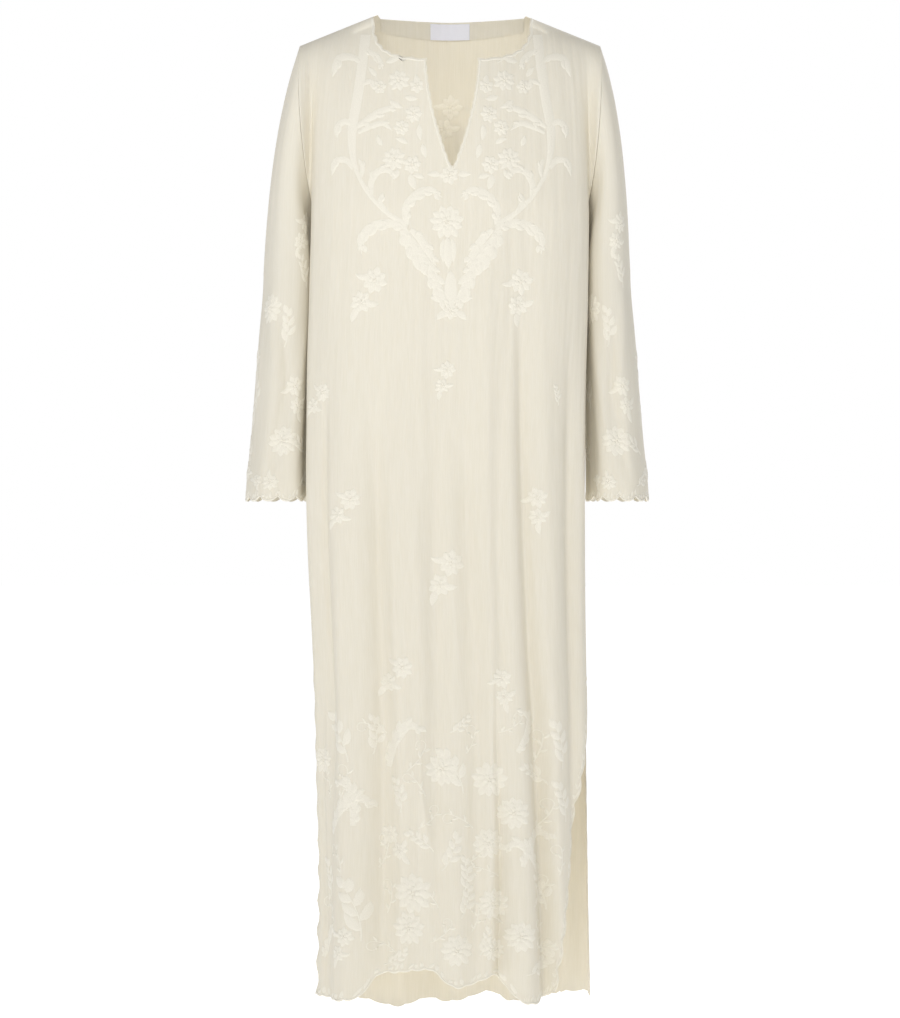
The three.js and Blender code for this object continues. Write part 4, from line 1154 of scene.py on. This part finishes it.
def half_garland():
    """The left half of the yoke's garland, from the shoulder to the middle of the chest."""
    vine = [(-113, -30), (-117, -72), (-123, -118), (-130, -165)]
    vine += [(-126, -210), (-106, -250), (-80, -276), (-57, -290)]
    t = np.linspace(0, 1, VINE_ROWS)
    half = 7.2 - 4.2 * rise(0.4, 0.7, t) + 1.2 * rise(0.8, 1, t)
    worked = [ribbon(line_through(vine, VINE_ROWS), half, 0.5)]
    for points, wide, lobes, hand in (
        ([(-120, -68), (-130, -62), (-146, -62), (-157, -88)], 12, 1, -1),
        ([(-117, -50), (-105, -56), (-95, -65), (-89, -80)], 9, 3, 1),
        ([(-116, -100), (-106, -96), (-98, -106)], 8, 1, 1),
        ([(-129, -156), (-140, -150), (-150, -158), (-150, -172)], 10, 1, -1),
        ([(-124, -158), (-106, -146), (-88, -136), (-68, -130)], 11, 3, 1),
        ([(-122, -166), (-106, -158), (-88, -154), (-76, -164)], 9, 2, -1),
        ([(-128, -214), (-138, -202), (-150, -202), (-157, -222)], 10, 1, -1),
        ([(-118, -226), (-116, -212), (-121, -200)], 7, 1, 1),
        ([(-104, -252), (-104, -232), (-94, -218), (-80, -218), (-73, -230)], 10, 4, -1),
        ([(-84, -272), (-92, -260), (-88, -246)], 8, 1, 1),
        ([(-58, -290), (-57, -266), (-44, -250), (-24, -244), (-10, -254)], 13, 5, 1),
        ([(-56, -294), (-78, -288), (-102, -292), (-117, -306), (-117, -328)], 14, 5, -1),
        ([(-62, -296), (-52, -316), (-36, -336), (-16, -356)], 20, 5, 1),
        ([(-52, -296), (-38, -310), (-28, -326), (-18, -344)], 12, 3, -1),
        ([(-30, -334), (-24, -356), (-14, -378), (-3, -398)], 15, 4, 1),
    ):
        worked += frond(points, wide, lobes, hand)
    for centre, size, petals, turn in (
        ((-74, -202), 32, 9, 0.4),
        ((-50, -210), 25, 7, 1.0),
        ((-68, -96), 30, 8, 0.2),
        ((-48, -142), 24, 7, 0.9),
        ((-64, -160), 22, 7, 0.5),
        ((-94, -104), 20, 6, 0.1),
        ((-44, -104), 20, 6, 0.6),
    ):
        worked += flower(centre, size, petals, turn)
    for start, angle, length, wide, bend in (
        ((-52, -222), -1.5, 22, 11, 0.4),
        ((-68, -216), -1.9, 16, 9, -0.5),
        ((-86, -70), 0.2, 26, 10, 0.5),
        ((-46, -88), -1.2, 22, 9, -0.6),
        ((-80, -122), -0.9, 22, 9, 0.7),
        ((-40, -156), -1.7, 22, 9, 0.4),
        ((-60, -118), -0.4, 18, 9, 0.4),
        ((-98, -90), 2.0, 18, 8, 0.5),
        ((-36, -182), -1.5, 20, 9, 0.3),
        ((-56, -182), 2.4, 18, 8, 0.6),
        ((-90, -184), 2.2, 16, 8, -0.5),
        ((-34, -228), 2.6, 16, 8, 0.6),
        ((-8, -392), 2.4, 20, 11, 0.9),
        ((-6, -368), 2.7, 22, 11, -0.7),
        ((-4, -404), 3.6, 18, 10, 0.5),
    ):
        worked += leaf(start, angle, length, wide, bend)
    return worked


def garland():
    """The whole garland, with the flowers on its middle line."""
    half = half_garland()
    worked = half + mirrored(half, GARLAND_MIDDLE)
    worked += bloom((-4, -286), 44, 0.2)
    worked += leaf((-3, -306), -1.57, 42, 16, 0.05, 0.8)
    worked += leaf((-8, -308), -1.75, 32, 9, 0.3) + leaf((3, -308), -1.4, 32, 9, -0.3)
    worked += flower((-1, -224), 26, 7, 1.4)
    worked += leaf((-12, -224), 2.9, 18, 9, 0.4) + leaf((10, -224), 0.25, 18, 9, -0.4)
    worked += leaf((1, -350), -1.57, 56, 18, 0.02)
    worked += flower((1, -404), 22, 7, 0.2)
    return worked


MOTIFS = {
    "sprig": sprig,
    "bloom": bloom,
    "spray": spray,
    "scroll": scroll,
    "roll": other_scroll,
    "tendril": tendril,
}
# Loose motifs: what it is, its place along the cloth and its height, its size and how it is turned.
FRONT_SCATTER = (
    ("sprig", -104, -378, 54, 1.25), ("sprig", 98, -380, 52, 1.7), ("sprig", 0, -492, 36, 1.5),
    ("sprig", -178, -520, 40, 1.0), ("spray", 152, -528, 24, 1.4), ("sprig", -134, -664, 44, 1.1),
    ("sprig", 124, -662, 42, 1.8), ("sprig", 0, -752, 54, 1.3), ("sprig", -72, -886, 46, 1.0),
    ("sprig", 70, -900, 40, 1.9), ("spray", -138, -1000, 62, 1.7), ("spray", -108, -990, 44, 1.2),
    ("roll", -88, -1006, 56, 1.4), ("spray", -4, -960, 30, 0.3), ("bloom", -14, -1008, 44, 0.6),
    ("spray", 14, -1040, 56, 1.7), ("bloom", 48, -1022, 46, 0.1), ("scroll", 84, -986, 44, 0.9),
    ("spray", 146, -1010, 56, 1.4), ("spray", 128, -1030, 40, 2.2), ("bloom", -192, -1000, 34, 0.2),
    ("roll", -168, -1096, 58, 1.2), ("scroll", -132, -1084, 50, 1.4), ("sprig", -78, -1104, 42, 2.4),
    ("spray", -70, -1066, 40, 1.4), ("bloom", 78, -1066, 42, 0.5), ("roll", 88, -1136, 46, 1.3),
    ("bloom", 46, -1106, 40, 0.9), ("scroll", 116, -1150, 50, 1.9), ("spray", 152, -1080, 48, 1.5),
    ("spray", -16, -1142, 46, 0.8), ("spray", -26, -1116, 38, 2.2), ("spray", 14, -1170, 40, 1.2),
    ("bloom", -54, -1172, 52, 0.5), ("bloom", -60, -1218, 44, 0.2), ("spray", -122, -1236, 74, 1.5),
    ("sprig", -144, -1242, 40, 1.4), ("spray", -176, -1180, 44, 1.5), ("spray", 10, -1204, 40, 1.0),
    ("bloom", 52, -1186, 40, 0.4), ("bloom", 86, -1228, 40, 0.4), ("spray", 128, -1196, 44, 1.6),
    ("bloom", 4, -1246, 42, 0.3), ("spray", 34, -1254, 34, 0.9), ("bloom", 52, -1246, 30, 0.8),
    ("spray", 92, -1278, 42, 0.1), ("spray", -96, -1268, 34, 0.2), ("roll", -196, -1262, 42, 1.3),
    ("sprig", 128, -1256, 34, 1.4), ("tendril", -90, -962, 34, 2.4), ("tendril", -60, -1010, 40, 0.6),
    ("tendril", -36, -1044, 36, 1.9), ("tendril", 18, -988, 34, 0.9), ("tendril", 60, -960, 34, 0.2),
    ("tendril", 112, -1000, 38, 1.0), ("tendril", -150, -1050, 42, 1.0),
    ("tendril", -104, -1060, 38, 2.6), ("tendril", -104, -1140, 42, 0.9),
    ("tendril", -146, -1150, 40, 1.6), ("tendril", -46, -1086, 34, 0.4),
    ("tendril", 26, -1086, 38, 2.3), ("tendril", 112, -1090, 40, 0.7), ("tendril", 60, -1150, 40, 2.5),
    ("tendril", 22, -1130, 34, 0.5), ("tendril", -20, -1190, 40, 2.0), ("tendril", -92, -1200, 40, 1.1),
    ("tendril", -30, -1236, 36, 0.4), ("tendril", 104, -1190, 40, 0.6), ("tendril", 66, -1212, 32, 2.4),
    ("tendril", 24, -1222, 34, 1.0), ("tendril", -78, -1252, 36, 2.4),
    ("tendril", -160, -1212, 40, 2.0), ("tendril", -176, -1050, 36, 1.5),
    ("tendril", 140, -1150, 36, 1.2), ("tendril", 110, -1246, 34, 1.0),
)
THREAD_DARK, THREAD_LIGHT = (0.815, 0.772, 0.66, 1), (0.89, 0.851, 0.743, 1)
STITCH_PITCH, STITCH_STRENGTH, STITCH_HEIGHT = 0.0007, 0.4, 0.0003


def satin_group():
    """Threads laid side by side across a ribbon, with the knots and gaps between them."""
    group, nodes, links, start, end = new_group("satin stitch", [], ["Height", "Speckle"])
    threads = nodes.new("ShaderNodeTexWave")
    threads.bands_direction = "Y"
    threads.inputs["Scale"].default_value = 0.314 / STITCH_PITCH
    threads.inputs["Distortion"].default_value = 2.5
    threads.inputs["Detail Scale"].default_value = 400
    speckle = nodes.new("ShaderNodeTexNoise")
    speckle.inputs["Scale"].default_value = 900
    speckle.inputs["Detail"].default_value = 2
    for node in (threads, speckle):
        links.new(start.outputs["Vector"], node.inputs["Vector"])
    height = nodes.new("ShaderNodeMath")
    height.operation = "MULTIPLY_ADD"
    height.inputs[1].default_value = 0.6
    links.new(threads.outputs["Fac"], height.inputs[0])
    links.new(speckle.outputs["Fac"], height.inputs[2])
    links.new(height.outputs[0], end.inputs["Height"])
    links.new(speckle.outputs["Fac"], end.inputs["Speckle"])
    return group


def thread_material():
    """Soft ivory cotton thread, a little lighter and glossier than the voile."""
    shine = {"Roughness": 0.6, "Specular IOR Level": 0.35, "Sheen Weight": 0.3}
    material, stitch = patterned("ivory thread", "ShaderNodeGroup", shine, satin_group())
    speckle, height = stitch.outputs["Speckle"], stitch.outputs["Height"]
    colours = ((0.3, THREAD_DARK), (0.6, THREAD_LIGHT))
    colour_and_raise(material, speckle, colours, height, STITCH_STRENGTH, STITCH_HEIGHT)
    return material


thread = thread_material()


def scatter(rows):
    """The stitching of all the motifs in a table of rows."""
    worked = []
    for kind, at, z, size, turn in rows:
        worked += MOTIFS[kind]((at, z), size, turn)
    return worked


def beside(line):
    """The direction to the right of a line at each of its points."""
    tangent = unit(np.gradient(line, axis=0))
    return np.stack([tangent[:, 1], -tangent[:, 0]], axis=1)


def stitched(name, batches):
    """One mesh of many ribbons, laid on cloth. Each batch is stitching and the way to lay it."""
    across = np.linspace(-1, 1, ACROSS + 1)
    dome = np.sqrt(np.maximum(0, 1 - across**2))
    points, uv, rows = [], [], []
    for worked, lay_on in batches:
        flat, lifts = [], []
        for piece in worked:
            line = piece["line"]
            side = beside(line)
            half = piece["half"][:, None]
            aside = half * across
            flat.append((line[:, None, :] + side[:, None, :] * aside[:, :, None]).reshape(-1, 2))
            full = np.clip(half / FULL_HALF, 0.25, 1)
            lifts.append((-SUNK + (SUNK + RELIEF * piece["high"] * full) * dome[None, :]).ravel())
            gone = travelled(line)[:, None] + 0 * aside
            uv.append(np.stack([aside, gone], axis=2).reshape(-1, 2))
            rows.append(len(line))
        flat = np.concatenate(flat)
        points.append(lay_on(flat[:, 0], flat[:, 1], np.concatenate(lifts)))
    work = new_grid(name, ACROSS, sum(rows) - 1)
    shape_grid(work, np.concatenate(points), np.concatenate(uv))
    ends = set(np.cumsum(rows)[:-1] - 1)
    bpy.ops.object.mode_set(mode="EDIT")
    bpy.ops.mesh.select_all(action="DESELECT")
    bpy.ops.object.mode_set(mode="OBJECT")
    for face in work.data.polygons:
        face.select = min(face.vertices) // (ACROSS + 1) in ends
    bpy.ops.object.mode_set(mode="EDIT")
    bpy.ops.mesh.select_mode(type="FACE")
    bpy.ops.mesh.delete(type="FACE")
    bpy.ops.object.mode_set(mode="OBJECT")
    work.data.materials.append(thread)
    bpy.ops.object.shade_smooth()
    work.select_set(False)
    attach(work, "root")
    return work


front_faces = faces_of(front)
from_front = seen_from(front_faces, -OUTSIDE)
OVER_CLOTH = 60


def round_body(side, tree):
    """A way to lay stitching on a hanging panel, by its distance along the cloth."""

    def place(a, z, lifts):
        x, y = unfolded(side, z, a)
        ahead, behind = unfolded(side, z, a + 2 * PROBE), unfolded(side, z, a - 2 * PROBE)
        out = unit(np.stack([ahead[1] - behind[1], behind[0] - ahead[0], 0 * z], axis=1))
        return lay(tree, np.stack([x, y, z], axis=1) + out * OVER_CLOTH, -out, lifts)

    return place


EDGE_STEP = 0.002


def along_edge(net, wide, long):
    """A way to lay stitching near a sheet's lower edge, by distances across it and up it."""

    def place(across, above, lifts):
        u, v = np.clip(across / wide, 0, 1), np.clip(1 - above / long, 0, 1)
        inner_u, inner_v = np.clip((u, v), EDGE_STEP, 1 - EDGE_STEP)
        over = net(inner_u + EDGE_STEP, v)[0] - net(inner_u - EDGE_STEP, v)[0]
        up = net(u, inner_v - EDGE_STEP)[0] - net(u, inner_v + EDGE_STEP)[0]
        return net(u, v)[0] + unit(np.cross(over, up)) * lifts[:, None]

    return place


EDGING, EDGING_HIGH = 1.5, 0.6
EDGING_SOFTENED, EDGING_INSET, EDGING_FROM = 4, 1.1, -4
HEM_CORD_STEP, SLIT_CORD_STEP = 1.8, 3
HEM_LEAF = {"foot": 3.6, "long": 9, "wide": 4.4}
SLIT_LEAF = {"inset": 8, "long": 14, "wide": 5.5}
EDGE_LEAF_HIGH = 0.45
HEM_LEAF_PITCH, SLIT_LEAF_PITCH = 8, 13
PANEL_LONG = (-HEM_LEVEL + CHEST_Z) / (1 - YOKE_SHARE_OF_ROWS)
SLIT_LONG = SLIT_Z - HEM_LEVEL - 30


def cord(x, z):
    """A round cord of stitching through the points x, z."""
    return ribbon(np.stack([x, z], axis=1), 0 * x + EDGING, EDGING_HIGH)


def hem_band(wide, slits=()):
    """A corded edge along a hem and up its slits, with a row of small leaves above it."""
    edge = np.linspace(2 * EDGING, wide - 2 * EDGING, int(wide / HEM_CORD_STEP))
    worked = [cord(edge, 0 * edge + EDGING)]
    for k in range(int(wide / HEM_LEAF_PITCH)):
        base = ((k + 0.6) * HEM_LEAF_PITCH, HEM_LEAF["foot"])
        angle, length = 1.2 + 0.5 * np.sin(2.1 * k), HEM_LEAF["long"] + 2 * np.sin(1.3 * k)
        worked += leaf(base, angle, length, HEM_LEAF["wide"], 0.4 * np.cos(k), EDGE_LEAF_HIGH)
    for side, long in slits:
        up = np.linspace(1, long, int(long / SLIT_CORD_STEP))
        worked.append(cord(0 * up + (wide - EDGING if side > 0 else EDGING), up))
        for k in range(int(long / SLIT_LEAF_PITCH)):
            inset = SLIT_LEAF["inset"]
            base = (wide - inset if side > 0 else inset, (k + 0.7) * SLIT_LEAF_PITCH)
            for turn in (0.9, 2.2):
                angle, bend = turn + 0.2 * np.sin(1.7 * k), 0.5 * np.cos(k)
                worked += leaf(base, angle, SLIT_LEAF["long"], SLIT_LEAF["wide"], bend, EDGE_LEAF_HIGH)
    return worked


def neck_edging():
    """A corded edge round the front neck and down both sides of the notch."""
    worked = []
    for hand in (-1, 1):
        line = front_neck_edge(hand)[::2]
        line = line[line[:, 1] < EDGING_FROM]
        for _ in range(EDGING_SOFTENED):
            line[1:-1] = (line[:-2] + 2 * line[1:-1] + line[2:]) / 4
        line = line + hand * (EDGING + EDGING_INSET) * beside(line)
        worked.append(cord(*line.T))
    return worked


def panel_edging(side):
    """The stitching along a panel's hem and slits, with the way to lay it."""
    wide = np.ptp(ends_at(side, HEM_LEVEL))
    worked = hem_band(wide, ((-1, SLIT_LONG), (1, SLIT_LONG)))
    return worked, along_edge(panel_net(side), wide, PANEL_LONG)


front_work = stitched(
    "front_embroidery",
    [
        (garland(), from_front),
        (neck_edging(), from_front),
        (scatter(FRONT_SCATTER), round_body("front", front_faces)),
        panel_edging("front"),
    ],
)


# The embroidery on the back, of which the photograph shows only one spray, seen through the notch.
# The rest repeats the loose flowers of the front.
BACK_SCATTER = (
    ("spray", 0, -340, 40, 1.3), ("sprig", -96, -420, 44, 1.4), ("sprig", 102, -400, 44, 1.7),
    ("sprig", 4, -540, 42, 1.2), ("sprig", -142, -600, 38, 1.8), ("sprig", 138, -640, 40, 1.2),
    ("sprig", -40, -760, 46, 1.6), ("sprig", 84, -850, 40, 1.1), ("sprig", -118, -890, 42, 1.9),
    ("bloom", 10, -950, 40, 0.3), ("spray", 146, -960, 44, 1.4), ("spray", -62, -1000, 46, 1.9),
    ("sprig", 66, -1030, 42, 0.8), ("bloom", -134, -1030, 44, 0.5), ("spray", -10, -1090, 48, 1.2),
    ("bloom", 120, -1080, 42, 0.2), ("sprig", -80, -1120, 44, 2.0), ("spray", -166, -1130, 44, 1.4),
    ("spray", 50, -1150, 44, 2.2), ("spray", 172, -1130, 42, 1.8), ("bloom", -30, -1200, 46, 0.4),
    ("sprig", 100, -1190, 44, 1.3), ("sprig", -128, -1220, 44, 1.5), ("spray", 150, -1240, 42, 1.5),
    ("spray", 40, -1270, 40, 0.4), ("spray", -84, -1280, 38, 0.3), ("sprig", 110, -1280, 36, 1.4),
)
BACK_YOKE_SCATTER = (
    ("sprig", 0, -130, 54, 1.6), ("spray", -84, -120, 46, 1.9), ("spray", 84, -120, 46, 1.0),
    ("sprig", -62, -230, 42, 1.3), ("sprig", 66, -236, 42, 1.8),
)


INSIDE_SCATTER = (("sprig", 0, -128, 50, 1.5),)
back_work = stitched(
    "back_embroidery",
    [
        panel_edging("back"),
        (scatter(BACK_SCATTER), round_body("back", back_faces)),
        (scatter(BACK_YOKE_SCATTER), seen_from(back_faces, OUTSIDE, -1)),
        (scatter(INSIDE_SCATTER), inside_back),
    ],
)


# The embroidery on the sleeves: sprays one above the other down the front, the back and the outer
# side, and a band of leaves round the cuff. The inner side, along the body, has only the band.
SLEEVE_SCATTER = (
    ("sprig", 22, -294, 44, 1.4), ("spray", 26, -368, 40, 1.5), ("bloom", -34, -396, 40, 0.3),
    ("spray", -6, -448, 46, 1.2), ("sprig", 18, -512, 44, 2.0), ("spray", -52, -530, 42, 1.5),
    ("bloom", 0, -574, 40, 0.5), ("spray", 42, -592, 38, 2.2), ("spray", -58, -606, 40, 1.8),
    ("sprig", -24, -630, 34, 0.1), ("spray", 24, -634, 34, 0.2), ("sprig", 160, -330, 42, 1.5),
    ("bloom", 186, -430, 40, 0.2), ("spray", 150, -470, 44, 1.4), ("sprig", 178, -540, 42, 1.8),
    ("spray", 140, -590, 40, 1.2), ("spray", 200, -600, 40, 1.9), ("sprig", 168, -630, 34, 0.2),
)
SLEEVE_OUTER_SCATTER = (
    ("sprig", 72, -470, 38, 1.6), ("spray", 66, -560, 40, 1.3), ("sprig", 76, -618, 34, 0.2),
)


ARM_HALF, ARM_DEEP = 38, 69
ARM_LEAN, ARM_LEAN_TOP = 6, -200
OVER_SLEEVE = 160


def round_sleeve(hand, tree):
    """A way to lay stitching on a sleeve, by its distance round it from the front."""
    angles = np.linspace(-np.pi, np.pi, 241)
    along = travelled(np.stack([ARM_HALF * np.cos(angles), ARM_DEEP * np.sin(angles)], axis=1))
    along -= np.interp(np.pi / 2, angles, along)

    def place(w, z, lifts):
        whole = along[-1] - along[0]
        angle = np.interp((-hand * w - along[0]) % whole + along[0], along, angles)
        x = look_up(SLEEVE, "z", "x", z) - ARM_LEAN * rise(ARM_Z, ARM_LEAN_TOP, z)
        middle = np.stack([hand * x, look_up(SLEEVE, "z", "back", z), z], axis=1)
        out = unit(np.stack([hand * ARM_HALF * np.cos(angle), -ARM_DEEP * np.sin(angle), 0 * z], axis=1))
        return lay(tree, middle + out * OVER_SLEEVE, -out, lifts)

    return place


for name, hand in (("left", -1), ("right", 1)):
    sleeve = sleeves[name]
    outer = scatter(SLEEVE_OUTER_SCATTER)
    sprays = scatter(SLEEVE_SCATTER) + (outer if hand > 0 else mirrored(outer))
    sleeve_work = stitched(
        "sleeve_" + name + "_embroidery",
        [
            (sprays, round_sleeve(hand, faces_of(sleeve))),
            (hem_band(SLEEVE_ROUND), along_edge(sleeve_net(hand), SLEEVE_ROUND, SLEEVE_LONG)),
        ],
    )
